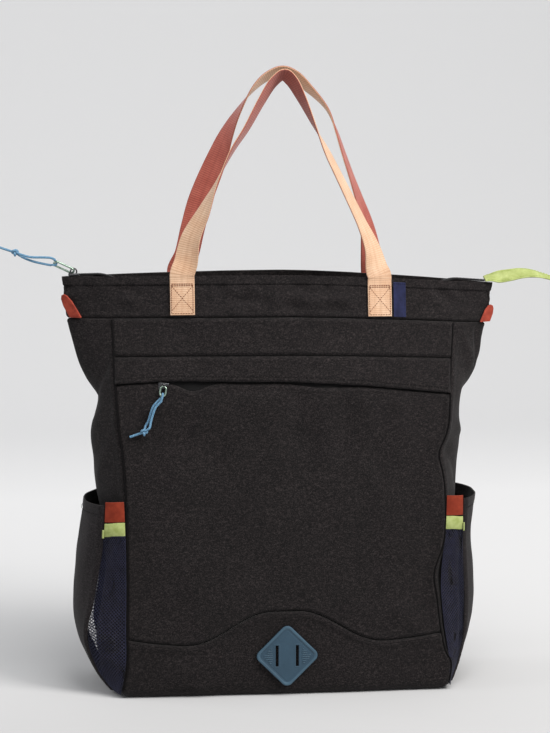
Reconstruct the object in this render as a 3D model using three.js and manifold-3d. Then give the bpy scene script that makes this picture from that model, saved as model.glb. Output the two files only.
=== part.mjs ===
// A convertible tote backpack that stands on its base: cloth panels, a rim band with a zip, an open front pocket
// with its own zip, two side bottle pockets, webbing handles, a lash patch, and plain padded straps on the back.
// Millimetres. X runs to the right seen from the front, Y to the back and Z up, with the origin under the base.
import * as THREE from "three";
import { mergeVertices } from "three/addons/utils/BufferGeometryUtils.js";
import Module from "manifold-3d";

const wasm = await Module();
wasm.setup();

// Driving sizes of the body
const BODY_HEIGHT = 434;
const RIM_HALF_WIDTH = 225;
const BODY_HALF_DEPTH = 70;
const BASE_EDGE_RADIUS = 10;
const PANEL_WALL = 2;
const SEAM_GAP = 0.3;
const CORNER_SEAM_GAP = 0.6;
const RIM_DROP_RIGHT = 13;
const RIM_DROP_LEFT = 2;

// Seams and edges of the front, from the rim down and from the floor up
const RIM_BAND_HEIGHT = 43;
const UPPER_PANEL_HEIGHT = 39;
const FLAP_LENGTH = 25;
const POCKET_MOUTH = 6;
const BAND_SEAM_HEIGHT = BODY_HEIGHT - RIM_BAND_HEIGHT;
const FLAP_STITCH_HEIGHT = BAND_SEAM_HEIGHT - UPPER_PANEL_HEIGHT;
const FLAP_EDGE_HEIGHT = FLAP_STITCH_HEIGHT - FLAP_LENGTH;
const POCKET_TOP_HEIGHT = FLAP_EDGE_HEIGHT - POCKET_MOUTH;
const FLAP_LIFT = 3;
const YOKE_SEAM_HEIGHT = 55;
const YOKE_WAVE_RISE = 34;
const YOKE_CREST_HALF_WIDTH = 14;
const YOKE_WAVE_HALF_WIDTH = 102;

// Zips
const ZIP_RECESS = 11;
const ZIP_TAPE_THICKNESS = 1;
const TOP_CHAIN_WIDTH = 6;
const TOP_CHAIN_THICKNESS = 2.4;
const POCKET_ZIP_SHARE = 0.948;
const POCKET_CHAIN_WIDTH = 5;
const POCKET_CHAIN_THICKNESS = 1.8;
const POCKET_TAPE_HEIGHT = 30;
const SLIDER_LENGTH = 11;
const SLIDER_WIDTH = 8;
const SLIDER_THICKNESS = 2.4;
const SLIDER_ARCH_RADIUS = 4;
const SLIDER_EYE_RADIUS = 2.4;
const SLIDER_ARCH_WIDTH = 1.6;
const TOP_SLIDER_X = 12 - RIM_HALF_WIDTH;
const POCKET_SLIDER_X = -0.547 * RIM_HALF_WIDTH;
const TOP_PULL_REACH = 40;
const POCKET_PULL_DROP = 50;
const PULL_LOOP_LENGTH = 24;
const POCKET_LOOP_LENGTH = 12;
const PULL_LOOP_WIDTH = 8;
const PULL_WIRE_RADIUS = 1.1;
const CORD_DIAMETER = 2.5;
const CORD_SIDES = 8;
const KNOT_RADIUS = 4.6;

// Trims on the front
const PATCH_SIDE = 49;
const PATCH_CORNER_RADIUS = 7;
const PATCH_THICKNESS = 3;
const PATCH_HEIGHT = 43;
const PATCH_SLOT_LENGTH = 22;
const PATCH_SLOT_WIDTH = 3;
const PATCH_SLOT_SPACING = 21;
const LABEL_WIDTH = 13;
const LABEL_HEIGHT = 36;
const LABEL_THICKNESS = 0.8;
const LABEL_GAP = 1.4;
const SIDE_LOOP_WIDTH = 11;
const SIDE_LOOP_THICKNESS = 2.4;
const END_TAB_LENGTH = 74;
const END_TAB_WIDTH = 15;
const END_TAB_THICKNESS = 2.4;

// Handles
const HANDLE_WEBBING_WIDTH = 25.4;
const HANDLE_WEBBING_THICKNESS = 1.8;
const HANDLE_HALF_SPACING = 102.4;
const HANDLE_SEWN_LENGTH = 36;
const SEWN_MARGIN = 3;
const HANDLE_RISE = 204.5;
const REAR_HANDLE_EXTRA_RISE = 3;
const HANDLE_APEX_X = 4;
const HANDLE_APEX_HALF_GAP = 12.2;
const HANDLE_APEX_TWIST = 117;
const HANDLE_TOUCH = 0.4;

// Side pockets
const SIDE_POCKET_HEIGHT = 0.461 * BODY_HEIGHT;
const SIDE_POCKET_SPREAD = RIM_HALF_WIDTH - 8;
const SIDE_POCKET_HALF_DEPTH = 0.686 * BODY_HALF_DEPTH;
const POCKET_SAG = 2.5;
const SIDE_POCKET_WALL = 1.6;
const SIDE_POCKET_FLOOR = 4;
const MESH_THICKNESS = 1;
const POCKET_TAB_HEIGHT = 21;
const POCKET_BINDING_HEIGHT = 14;
const TRIM_THICKNESS = 1.4;
const POCKET_SEAM_CLEARANCE = 1.8;

// Shoulder straps
const STRAP_PAD_WIDTH = 62;
const STRAP_PAD_THICKNESS = 9;
const STRAP_TOP_X = 0.258 * RIM_HALF_WIDTH;
const STRAP_LOW_X = 0.409 * RIM_HALF_WIDTH;
const STRAP_TOP_HEIGHT = BAND_SEAM_HEIGHT + 1;
const STRAP_LOW_HEIGHT = 0.295 * BODY_HEIGHT;
const STRAP_BOW = 44;
const STRAP_WEBBING_WIDTH = 25;
const STRAP_WEBBING_THICKNESS = 1.8;
const STRAP_FOOT_X = 0.613 * RIM_HALF_WIDTH;
const STRAP_FOOT_HEIGHT = 34;
const BUCKLE_WIDTH = 33;
const BUCKLE_LENGTH = 34;
const BUCKLE_THICKNESS = 6;
const TOUCH = 0.3;

// Turns rows of numbers into records with the named columns.
function table(columns, rows) {
  return rows.map((row) => Object.fromEntries(columns.map((name, i) => [name, row[i]])));
}

// Reads every column of a table at a value of its first column, along a smooth curve through the rows.
function sample(rows, key, at) {
  const last = rows.length - 1;
  let i = 0;
  while (i < last - 1 && at > rows[i + 1][key]) i += 1;
  const [a, b] = [rows[i], rows[i + 1]];
  const [before, after] = [rows[Math.max(i - 1, 0)], rows[Math.min(i + 2, last)]];
  const span = b[key] - a[key];
  const t = THREE.MathUtils.clamp((at - a[key]) / span, 0, 1);
  const result = {};
  for (const name of Object.keys(a)) {
    const slopeIn = ((b[name] - before[name]) / (b[key] - before[key])) * span;
    const slopeOut = ((after[name] - a[name]) / (after[key] - a[key])) * span;
    const [t2, t3] = [t * t, t * t * t];
    result[name] =
      (2 * t3 - 3 * t2 + 1) * a[name] +
      (t3 - 2 * t2 + t) * slopeIn +
      (3 * t2 - 2 * t3) * b[name] +
      (t3 - t2) * slopeOut;
  }
  return result;
}

// Plan sections of the body. Heights are shares of BODY_HEIGHT, widths of RIM_HALF_WIDTH and depths of
// BODY_HALF_DEPTH. The seams are the front corners, the sides the outermost line of each gusset, and the power
// says how round the gusset is: 1 is a sharp fold.
const SECTIONS = table(
  ["height", "seamLeft", "seamRight", "sideLeft", "sideRight", "seamDepth", "centreDepth", "power"],
  [
    [0, 0.757, 0.762, 0.775, 0.778, 0.94, 0.985, 3],
    [0.08, 0.729, 0.757, 0.782, 0.785, 0.95, 1, 2.8],
    [0.17, 0.726, 0.733, 0.79, 0.79, 0.91, 0.975, 2.4],
    [0.27, 0.722, 0.722, 0.8, 0.798, 0.85, 0.925, 2.2],
    [0.38, 0.722, 0.742, 0.817, 0.817, 0.78, 0.85, 2],
    [0.485, 0.727, 0.751, 0.857, 0.838, 0.72, 0.79, 2],
    [0.575, 0.738, 0.755, 0.87, 0.844, 0.665, 0.735, 2],
    [0.65, 0.757, 0.771, 0.877, 0.848, 0.615, 0.69, 1.9],
    [0.7, 0.762, 0.778, 0.864, 0.862, 0.565, 0.66, 1.8],
    [0.755, 0.769, 0.785, 0.905, 0.912, 0.48, 0.62, 1.5],
    [0.81, 0.772, 0.793, 0.943, 0.944, 0.385, 0.575, 1.3],
    [0.86, 0.774, 0.802, 0.966, 0.956, 0.3, 0.53, 1.25],
    [0.9, 0.778, 0.808, 0.979, 0.97, 0.24, 0.5, 1.3],
    [0.95, 0.79, 0.815, 0.989, 0.989, 0.19, 0.45, 1.5],
    [1, 0.805, 0.822, 0.997, 1, 0.145, 0.4, 1.8],
  ],
);

// Dents and soft ridges of the front cloth. Ends are shares of RIM_HALF_WIDTH across and BODY_HEIGHT up, the
// width is a share of RIM_HALF_WIDTH, and the push is millimetres of cloth, forward when positive.
const FRONT_FOLDS = table(
  ["fromX", "fromZ", "toX", "toZ", "width", "push"],
  [
    [-0.5, 0.87, -0.36, 0.79, 0.09, -2],
    [-0.44, 0.7, 0.2, 0.69, 0.1, 1.5],
    [-0.45, 0.3, 0.3, 0.5, 0.35, 2.5],
    [0.7, 0.62, 0.62, 0.5, 0.08, -3],
    [0.72, 0.34, 0.64, 0.22, 0.09, -3],
    [-0.62, 0.1, -0.4, 0.03, 0.08, 2.5],
  ],
);

// Creases of the two gussets. Ends are places from the front seam at -1 to the back seam at 1, and shares of
// BODY_HEIGHT, the width is a share of BODY_HALF_DEPTH, and the push is outward when positive.
const GUSSET_FOLDS = table(
  ["fromV", "fromZ", "toV", "toZ", "width", "push"],
  [
    [-0.9, 0.82, 0, 0.69, 0.26, -3.5],
    [0.9, 0.82, 0, 0.69, 0.26, -3.5],
    [-0.6, 0.72, -0.3, 0.6, 0.25, 2],
    [0.3, 0.62, 0.3, 0.48, 0.3, -1.5],
  ],
);

const CLOTH = { color: 0x2b2728, roughness: 0.95, metalness: 0 };
const MESH_CLOTH = { color: 0x1a1c30, roughness: 0.9, metalness: 0 };
const PEACH_WEBBING = { color: 0xe6b98f, roughness: 0.85, metalness: 0 };
const RUST_WEBBING = { color: 0xb75a35, roughness: 0.85, metalness: 0 };
const LIME_TRIM = { color: 0xc3d285, roughness: 0.8, metalness: 0 };
const BLUE_CORD = { color: 0x5f95c0, roughness: 0.85, metalness: 0 };
const SLATE_RUBBER = { color: 0x47708c, roughness: 0.6, metalness: 0 };
const NAVY_LABEL = { color: 0x2c2f5c, roughness: 0.8, metalness: 0 };
const WIRE_STEEL = { color: 0xa9aca8, roughness: 0.25, metalness: 1 };
const ZIP_COIL = { color: 0x1b1a1c, roughness: 0.5, metalness: 0 };
const STRAP_CLOTH = { color: 0x262425, roughness: 0.95, metalness: 0 };
const BUCKLE_PLASTIC = { color: 0x18181a, roughness: 0.45, metalness: 0 };

const model = new THREE.Group();

function add(name, geometry, look) {
  const mesh = new THREE.Mesh(geometry, new THREE.MeshStandardMaterial(look));
  mesh.name = name;
  model.add(mesh);
  return mesh;
}

// Builds a geometry from corner points and triangles, with its faces turned outward.
function closedGeometry(points, triangles) {
  let volume = 0;
  for (const [a, b, c] of triangles) {
    volume += points[a].dot(new THREE.Vector3().crossVectors(points[b], points[c]));
  }
  const faces = volume < 0 ? triangles.map(([a, b, c]) => [a, c, b]) : triangles;
  const geometry = new THREE.BufferGeometry().setFromPoints(points);
  geometry.setIndex(faces.flat());
  geometry.computeVertexNormals();
  return geometry;
}

// A sheet with thickness: outer and inner skins over the same grid, joined round the edge. The two functions give
// the skins' points for shares 0 to 1 across and up.
function sheet(across, up, outer, inner) {
  const points = [];
  for (const skin of [outer, inner]) {
    for (let j = 0; j <= up; j += 1) {
      for (let i = 0; i <= across; i += 1) points.push(skin(i / across, j / up));
    }
  }
  const layer = (across + 1) * (up + 1);
  const at = (skin, i, j) => skin * layer + j * (across + 1) + i;
  const triangles = [];
  const quad = (a, b, c, d) => triangles.push([a, b, c], [a, c, d]);
  for (let j = 0; j < up; j += 1) {
    for (let i = 0; i < across; i += 1) {
      quad(at(0, i, j), at(0, i + 1, j), at(0, i + 1, j + 1), at(0, i, j + 1));
      quad(at(1, i, j), at(1, i, j + 1), at(1, i + 1, j + 1), at(1, i + 1, j));
    }
  }
  for (let i = 0; i < across; i += 1) {
    quad(at(0, i, 0), at(1, i, 0), at(1, i + 1, 0), at(0, i + 1, 0));
    quad(at(0, i, up), at(0, i + 1, up), at(1, i + 1, up), at(1, i, up));
  }
  for (let j = 0; j < up; j += 1) {
    quad(at(0, 0, j), at(0, 0, j + 1), at(1, 0, j + 1), at(1, 0, j));
    quad(at(0, across, j), at(1, across, j), at(1, across, j + 1), at(0, across, j + 1));
  }
  return closedGeometry(points, triangles);
}

// A flat band of webbing along stations, each with its centre, the direction of its width and its face normal.
function webbing(stations, width, thickness) {
  const points = [];
  for (const { centre, wide, face } of stations) {
    for (const [w, n] of [[-1, -1], [1, -1], [1, 1], [-1, 1]]) {
      points.push(
        centre
          .clone()
          .addScaledVector(wide, (w * width) / 2)
          .addScaledVector(face, (n * thickness) / 2),
      );
    }
  }
  const triangles = [];
  const quad = (a, b, c, d) => triangles.push([a, b, c], [a, c, d]);
  for (let s = 0; s < stations.length - 1; s += 1) {
    for (let k = 0; k < 4; k += 1) {
      const next = (k + 1) % 4;
      quad(s * 4 + k, s * 4 + next, s * 4 + 4 + next, s * 4 + 4 + k);
    }
  }
  const end = (stations.length - 1) * 4;
  quad(3, 2, 1, 0);
  quad(end, end + 1, end + 2, end + 3);
  return closedGeometry(points, triangles);
}

// A round cord along points.
function cordTube(points, diameter) {
  const path = new THREE.CatmullRomCurve3(points, false, "centripetal");
  const section = new THREE.Shape();
  for (let i = 0; i < CORD_SIDES; i += 1) {
    const angle = (i / CORD_SIDES) * 2 * Math.PI;
    const [x, y] = [(Math.cos(angle) * diameter) / 2, (Math.sin(angle) * diameter) / 2];
    if (i === 0) section.moveTo(x, y);
    else section.lineTo(x, y);
  }
  section.closePath();
  const steps = Math.max(3, Math.round(path.getLength() / (2.5 * diameter)));
  return new THREE.ExtrudeGeometry(section, { steps, extrudePath: path });
}

function solidOf(geometry) {
  const bare = geometry.clone();
  bare.deleteAttribute("normal");
  bare.deleteAttribute("uv");
  const merged = mergeVertices(bare, 1e-4);
  return new wasm.Manifold(
    new wasm.Mesh({
      numProp: 3,
      vertProperties: merged.attributes.position.array,
      triVerts: new Uint32Array(merged.index.array),
    }),
  );
}

function geometryOf(solid) {
  const { vertProperties, triVerts } = solid.getMesh();
  const geometry = new THREE.BufferGeometry();
  geometry.setAttribute("position", new THREE.BufferAttribute(new Float32Array(vertProperties), 3));
  geometry.setIndex(new THREE.BufferAttribute(new Uint32Array(triVerts), 1));
  geometry.computeVertexNormals();
  return geometry;
}

// The distance from a point to a segment, all in the plane.
function segmentDistance(x, y, x0, y0, x1, y1) {
  const [dx, dy] = [x1 - x0, y1 - y0];
  const along = THREE.MathUtils.clamp(((x - x0) * dx + (y - y0) * dy) / (dx * dx + dy * dy), 0, 1);
  return Math.hypot(x - x0 - along * dx, y - y0 - along * dy);
}

function frontRelief(x, z) {
  let push = 0;
  for (const fold of FRONT_FOLDS) {
    const distance = segmentDistance(
      x,
      z,
      fold.fromX * RIM_HALF_WIDTH,
      fold.fromZ * BODY_HEIGHT,
      fold.toX * RIM_HALF_WIDTH,
      fold.toZ * BODY_HEIGHT,
    );
    push += fold.push * Math.exp(-((distance / (fold.width * RIM_HALF_WIDTH)) ** 2));
  }
  return push;
}

function gussetRelief(v, z) {
  let push = 0;
  for (const fold of GUSSET_FOLDS) {
    const distance = segmentDistance(
      v * BODY_HALF_DEPTH,
      z,
      fold.fromV * BODY_HALF_DEPTH,
      fold.fromZ * BODY_HEIGHT,
      fold.toV * BODY_HALF_DEPTH,
      fold.toZ * BODY_HEIGHT,
    );
    push += fold.push * Math.exp(-((distance / (fold.width * BODY_HALF_DEPTH)) ** 2));
  }
  return push * (1 - v ** 4);
}

// How much lower the cloth hangs than at the middle, growing to the rim's own slope at the top.
function droop(x, share) {
  const across = Math.abs(x) / RIM_HALF_WIDTH;
  const full = x > 0 ? RIM_DROP_RIGHT * across ** 1.4 : RIM_DROP_LEFT * across ** 2;
  return full * THREE.MathUtils.smoothstep(share, 0.45, 1);
}

// Follows the cloth up from the base: a quarter round at the bottom edge and the section's own line above it.
// The climb is the height where the cloth stands, and the wall moves the point inward.
function baseRoll(height, wall) {
  if (height >= BASE_EDGE_RADIUS) return { height, inset: wall };
  const angle = (Math.max(height, 0) / BASE_EDGE_RADIUS) * (Math.PI / 2);
  const radius = BASE_EDGE_RADIUS - wall;
  return {
    height: BASE_EDGE_RADIUS - radius * Math.cos(angle),
    inset: BASE_EDGE_RADIUS - radius * Math.sin(angle),
  };
}

// A point of the front or back cloth. across runs from -1 at the left seam to 1 at the right one.
function facePoint(across, height, wall, facing) {
  const roll = baseRoll(height, wall);
  const share = roll.height / BODY_HEIGHT;
  const section = sample(SECTIONS, "height", share);
  const half = (across < 0 ? section.seamLeft : section.seamRight) * RIM_HALF_WIDTH - roll.inset;
  const x = across * half;
  const centre = section.centreDepth * BODY_HALF_DEPTH;
  const corner = section.seamDepth * BODY_HALF_DEPTH;
  const depth = centre - (centre - corner) * Math.abs(across) ** 1.8 - roll.inset;
  const edge = 1 - across ** 8;
  const relief = facing < 0 && height >= BASE_EDGE_RADIUS ? frontRelief(x, roll.height) * edge : 0;
  return new THREE.Vector3(x, facing * (depth + relief), roll.height - droop(x, share));
}

// A point of a gusset. v runs from -1 at the front seam to 1 at the back seam.
function gussetPoint(side, v, height, wall) {
  const roll = baseRoll(height, wall);
  const share = roll.height / BODY_HEIGHT;
  const section = sample(SECTIONS, "height", share);
  const outermost = (side < 0 ? section.sideLeft : section.sideRight) * RIM_HALF_WIDTH - roll.inset;
  const seam = (side < 0 ? section.seamLeft : section.seamRight) * RIM_HALF_WIDTH - roll.inset;
  const depth = section.seamDepth * BODY_HALF_DEPTH - roll.inset;
  const relief = height >= BASE_EDGE_RADIUS ? gussetRelief(v, roll.height) : 0;
  const x = side * (outermost - (outermost - seam) * Math.abs(v) ** section.power + relief);
  return new THREE.Vector3(x, v * depth, roll.height - droop(x, share));
}

// The share across the front cloth that lies at a distance from the middle, at a height.
function acrossAt(x, height) {
  const section = sample(SECTIONS, "height", height / BODY_HEIGHT);
  return x / ((x < 0 ? section.seamLeft : section.seamRight) * RIM_HALF_WIDTH);
}

function frontSurface(x, height) {
  return facePoint(acrossAt(x, height), height, 0, -1);
}

// The wavy seam above the base, as a height for a share across the front.
function yokeSeam(across) {
  const x = Math.abs(across) * RIM_HALF_WIDTH * SECTIONS[1].seamLeft;
  const fall = (x - YOKE_CREST_HALF_WIDTH) / (YOKE_WAVE_HALF_WIDTH - YOKE_CREST_HALF_WIDTH);
  const wave = 0.5 + 0.5 * Math.cos(Math.PI * THREE.MathUtils.clamp(fall, 0, 1));
  const flare = 7 * Math.max(0, (x - YOKE_WAVE_HALF_WIDTH) / YOKE_WAVE_HALF_WIDTH) ** 1.5 * 2;
  return YOKE_SEAM_HEIGHT + YOKE_WAVE_RISE * wave + flare;
}

// The loose edge of the flap and the top edge of the pocket cloth under it sag between these places. Places are
// shares across the front, and drops are shares of FLAP_STITCH_HEIGHT - FLAP_EDGE_HEIGHT.
const FLAP_EDGE = table(
  ["across", "flapDrop", "pocketDrop"],
  [
    [-1, 0.1, 0.36],
    [-0.7, 0, 0.3],
    [-0.56, 0, 0.14],
    [-0.46, 0.02, -0.05],
    [-0.3, 0.04, -0.04],
    [0.08, 0.08, 0.1],
    [0.19, 0.12, 0.28],
    [0.28, 0.14, 0.28],
    [0.38, 0.18, 0.1],
    [0.5, 0.22, 0.06],
    [0.74, 0.36, 0.16],
    [1, 0.5, 0.42],
  ],
);

function flapEdge(across) {
  const drop = sample(FLAP_EDGE, "across", across).flapDrop;
  return FLAP_EDGE_HEIGHT - drop * (FLAP_STITCH_HEIGHT - FLAP_EDGE_HEIGHT);
}

function pocketTop(across) {
  const drop = sample(FLAP_EDGE, "across", across).pocketDrop;
  return POCKET_TOP_HEIGHT - drop * (FLAP_STITCH_HEIGHT - FLAP_EDGE_HEIGHT);
}

// The height of a row of a grid that starts at the floor: three rows round the bottom edge, then even steps.
const ROLL_ROWS = 3;
function rowHeight(share, rows, high) {
  const row = share * rows;
  if (row <= ROLL_ROWS) return (row / ROLL_ROWS) * BASE_EDGE_RADIUS;
  return BASE_EDGE_RADIUS + ((row - ROLL_ROWS) / (rows - ROLL_ROWS)) * (high - BASE_EDGE_RADIUS);
}

// A cloth piece of the front or back between two height functions.
function facePiece(name, look, { across, up, low, high, facing, lift = () => 0, wall = PANEL_WALL, inset = 0 }) {
  const skin = (depth) => (i, j) => {
    const place = 2 * i - 1;
    const [bottom, top] = [low(place), high(place)];
    const height = bottom > 0 ? bottom + (top - bottom) * j : rowHeight(j, up, top);
    const point = facePoint(place, height, depth + inset, facing);
    point.y += facing * lift(j);
    return point;
  };
  return add(name, sheet(across, up, skin(0), skin(wall)), look);
}

function bodyPanels() {
  const rows = 20;
  facePiece("front_yoke", CLOTH, {
    across: 22, up: 7, low: () => 0, high: (a) => yokeSeam(a) - SEAM_GAP, facing: -1,
  });
  facePiece("front_panel", CLOTH, {
    across: 22, up: 10, low: yokeSeam, high: pocketTop, facing: -1,
  });
  facePiece("pocket_flap", CLOTH, {
    across: 20, up: 2, low: flapEdge, high: () => FLAP_STITCH_HEIGHT - SEAM_GAP, facing: -1,
    lift: (j) => FLAP_LIFT * (1 - j),
  });
  facePiece("front_upper_panel", CLOTH, {
    across: 20, up: 3, low: () => FLAP_STITCH_HEIGHT, high: () => BAND_SEAM_HEIGHT - SEAM_GAP, facing: -1,
  });
  facePiece("back_panel", CLOTH, {
    across: 10, up: rows, low: () => 0, high: () => BAND_SEAM_HEIGHT - SEAM_GAP, facing: 1,
  });
  for (const [side, word] of [[-1, "left"], [1, "right"]]) {
    const skin = (wall) => (i, j) => {
      const v = (2 * i - 1) * (1 - CORNER_SEAM_GAP / BODY_HALF_DEPTH);
      return gussetPoint(side, v, rowHeight(j, rows, BAND_SEAM_HEIGHT - SEAM_GAP), wall);
    };
    add("side_panel_" + word, sheet(8, rows, skin(0), skin(PANEL_WALL)), CLOTH);
  }
}

// The flat cloth under the bag, inside the rounded bottom edge.
function basePanel() {
  const outline = [];
  const steps = 12;
  const inward = (value) => value - Math.sign(value) * SEAM_GAP;
  const place = (point) => outline.push(new THREE.Vector2(inward(point.x), inward(point.y)));
  for (let i = -steps; i < steps; i += 1) place(facePoint(i / steps, 0, 0, -1));
  for (let i = -3; i < 3; i += 1) place(gussetPoint(1, i / 3, 0, 0));
  for (let i = steps; i > -steps; i -= 1) place(facePoint(i / steps, 0, 0, 1));
  for (let i = 3; i > -3; i -= 1) place(gussetPoint(-1, i / 3, 0, 0));
  const plate = new THREE.ExtrudeGeometry(new THREE.Shape(outline), { depth: PANEL_WALL, bevelEnabled: false });
  add("base_panel", plate, CLOTH);
}

// A point of the rim band. across runs from -1 at the left corner to 1 at the right one, round the front or back.
const BAND_FACE_SHARE = 0.84;
function bandPoint(across, height, wall, facing) {
  if (Math.abs(across) <= BAND_FACE_SHARE) return facePoint(across / BAND_FACE_SHARE, height, wall, facing);
  const v = (1 - Math.abs(across)) / (1 - BAND_FACE_SHARE);
  const point = gussetPoint(Math.sign(across), facing * v, height, wall);
  point.y = facing * Math.max(Math.abs(point.y), SEAM_GAP / 2);
  return point;
}

function rimBand() {
  for (const [facing, word] of [[-1, "front"], [1, "rear"]]) {
    const skin = (wall) => (i, j) => {
      const height = BAND_SEAM_HEIGHT + (BODY_HEIGHT - BAND_SEAM_HEIGHT) * j;
      return bandPoint(2 * i - 1, height, wall, facing);
    };
    add("rim_band_" + word, sheet(28, 2, skin(0), skin(PANEL_WALL)), CLOTH);
  }
}

// The depth of the rim band's cloth at a distance from the middle, which narrows to nothing at the corners.
function bandDepth(x, height, wall) {
  const section = sample(SECTIONS, "height", height / BODY_HEIGHT);
  const outermost = (x < 0 ? section.sideLeft : section.sideRight) * RIM_HALF_WIDTH - wall;
  const seam = (x < 0 ? section.seamLeft : section.seamRight) * RIM_HALF_WIDTH - wall;
  if (Math.abs(x) <= seam) return Math.abs(facePoint(x / seam, height, wall, 1).y);
  const v = Math.max(0, (outermost - Math.abs(x)) / (outermost - seam)) ** (1 / section.power);
  return v * (section.seamDepth * BODY_HALF_DEPTH - wall);
}

function rimHeight(x) {
  return BODY_HEIGHT - droop(x, 1);
}

// The middle of the top zip: sunk between the rims, and over the pinched corners at its ends.
const ZIP_RISE_START = 0.64;
const ZIP_RISE_END = 0.84;
function topChainHeight(x) {
  const rise = THREE.MathUtils.smoothstep(Math.abs(x) / RIM_HALF_WIDTH, ZIP_RISE_START, ZIP_RISE_END);
  const over = TOP_CHAIN_THICKNESS / 2 + 2 * TOUCH;
  return rimHeight(x) - ZIP_RECESS * (1 - rise) + over * rise;
}

function topZip() {
  const reach = RIM_HALF_WIDTH * ZIP_RISE_END;
  const clear = 2 * TOUCH;
  for (const [facing, word] of [[-1, "front"], [1, "rear"]]) {
    const skin = (thick) => (i, j) => {
      const x = (2 * i - 1) * reach;
      const height = Math.min(BODY_HEIGHT, BODY_HEIGHT - rimHeight(x) + topChainHeight(x) + TOUCH);
      const outer = bandDepth(x, height, PANEL_WALL) - clear;
      const y = outer + (TOP_CHAIN_WIDTH / 2 + TOUCH - outer) * j;
      return new THREE.Vector3(x, facing * y, topChainHeight(x) + (1 - j) * TOUCH - thick);
    };
    add("top_zip_tape_" + word, sheet(20, 1, skin(0), skin(ZIP_TAPE_THICKNESS)), ZIP_COIL);
  }
  const from = TOP_SLIDER_X + SLIDER_LENGTH / 2 + TOUCH;
  const to = RIM_HALF_WIDTH - 8;
  const stations = [];
  const steps = 26;
  for (let i = 0; i <= steps; i += 1) {
    const x = from + ((to - from) * i) / steps;
    stations.push({
      centre: new THREE.Vector3(x, 0, topChainHeight(x)),
      wide: new THREE.Vector3(0, 1, 0),
      face: new THREE.Vector3(0, 0, 1),
    });
  }
  add("top_zip_chain", webbing(stations, TOP_CHAIN_WIDTH, TOP_CHAIN_THICKNESS), ZIP_COIL);
}

// A zip slider lying in its own XY plane with its chain along X, and an arch on top for the pull. The eye of the
// arch runs across the chain, or along it.
function sliderGeometry(eyeAlongChain) {
  const slab = new THREE.BoxGeometry(SLIDER_LENGTH, SLIDER_WIDTH, SLIDER_THICKNESS);
  slab.translate(0, 0, SLIDER_THICKNESS / 2);
  const arch = new THREE.Shape();
  const wrap = 0.95;
  arch.absarc(0, 0, SLIDER_ARCH_RADIUS, -wrap, Math.PI + wrap, false);
  arch.closePath();
  const eye = new THREE.Path();
  eye.absarc(0, 0, SLIDER_EYE_RADIUS, 0, 2 * Math.PI, true);
  arch.holes.push(eye);
  const bow = new THREE.ExtrudeGeometry(arch, { depth: SLIDER_ARCH_WIDTH, bevelEnabled: false, curveSegments: 6 });
  bow.translate(0, 0, -SLIDER_ARCH_WIDTH / 2);
  bow.rotateX(Math.PI / 2);
  if (eyeAlongChain) bow.rotateZ(Math.PI / 2);
  bow.translate(0, 0, sliderEyeHeight());
  return geometryOf(solidOf(slab).add(solidOf(bow)));
}

function sliderEyeHeight() {
  return SLIDER_THICKNESS + SLIDER_EYE_RADIUS - 2 * TOUCH;
}

// A closed wire loop with round ends in the plane of the two directions, starting at its near end's wire.
function wireLoop(start, along, across, length, width) {
  const straight = length - width;
  const radius = width / 2 - PULL_WIRE_RADIUS;
  const centres = [];
  const turns = 8;
  for (let end = 0; end < 2; end += 1) {
    for (let i = 0; i <= turns; i += 1) {
      const angle = Math.PI * (end + 0.5 + i / turns);
      const reach = radius + (end === 0 ? 0 : straight) + radius * Math.cos(angle);
      centres.push(
        start.clone().addScaledVector(along, reach).addScaledVector(across, radius * Math.sin(angle)),
      );
    }
  }
  const normal = new THREE.Vector3().crossVectors(along, across).normalize();
  const sides = 6;
  const points = [];
  centres.forEach((centre, i) => {
    const next = centres[(i + 1) % centres.length];
    const before = centres[(i + centres.length - 1) % centres.length];
    const ahead = next.clone().sub(before).normalize();
    const outward = new THREE.Vector3().crossVectors(ahead, normal).normalize();
    for (let k = 0; k < sides; k += 1) {
      const angle = (k / sides) * 2 * Math.PI;
      points.push(
        centre
          .clone()
          .addScaledVector(outward, PULL_WIRE_RADIUS * Math.cos(angle))
          .addScaledVector(normal, PULL_WIRE_RADIUS * Math.sin(angle)),
      );
    }
  });
  const triangles = [];
  for (let i = 0; i < centres.length; i += 1) {
    const after = (i + 1) % centres.length;
    for (let k = 0; k < sides; k += 1) {
      const next = (k + 1) % sides;
      triangles.push([i * sides + k, after * sides + k, after * sides + next]);
      triangles.push([i * sides + k, after * sides + next, i * sides + next]);
    }
  }
  return closedGeometry(points, triangles);
}

function knotGeometry(centre) {
  const ball = new THREE.SphereGeometry(KNOT_RADIUS, 10, 6);
  ball.scale(1, 0.85, 0.9);
  ball.translate(centre.x, centre.y, centre.z);
  return ball;
}

// The end of a cord that stops just short of a knot, on the line from the cord's last point.
function atKnot(knot, from) {
  return knot.clone().addScaledVector(from.clone().sub(knot).normalize(), KNOT_RADIUS + TOUCH);
}

// The pull of the top zip: a wire loop, a doubled cord, its knot and one tail, standing out past the left corner.
// Places along the cords are measured from the far end of the wire loop, in shares of TOP_PULL_REACH.
const TOP_PULL_ALONG = new THREE.Vector3(-0.906, 0, 0.423).normalize();
const CORD_COLUMNS = ["out", "side", "up"];
const TOP_CORDS = {
  knot: table(CORD_COLUMNS, [[1.001, 0, 0.278]]),
  upper: table(CORD_COLUMNS, [
    [-0.029, -0.038, 0.08],
    [0.081, -0.038, 0.13],
    [0.244, -0.038, 0.145],
    [0.619, -0.04, 0.16],
    [0.824, -0.065, 0.22],
  ]),
  lower: table(CORD_COLUMNS, [
    [0.079, 0.038, -0.065],
    [0.236, 0.038, -0.035],
    [0.544, 0.038, 0.04],
    [0.794, 0.06, 0.14],
  ]),
  tail: table(CORD_COLUMNS, [
    [1.381, 0, 0.41],
    [1.706, 0, 0.558],
  ]),
};

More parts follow.
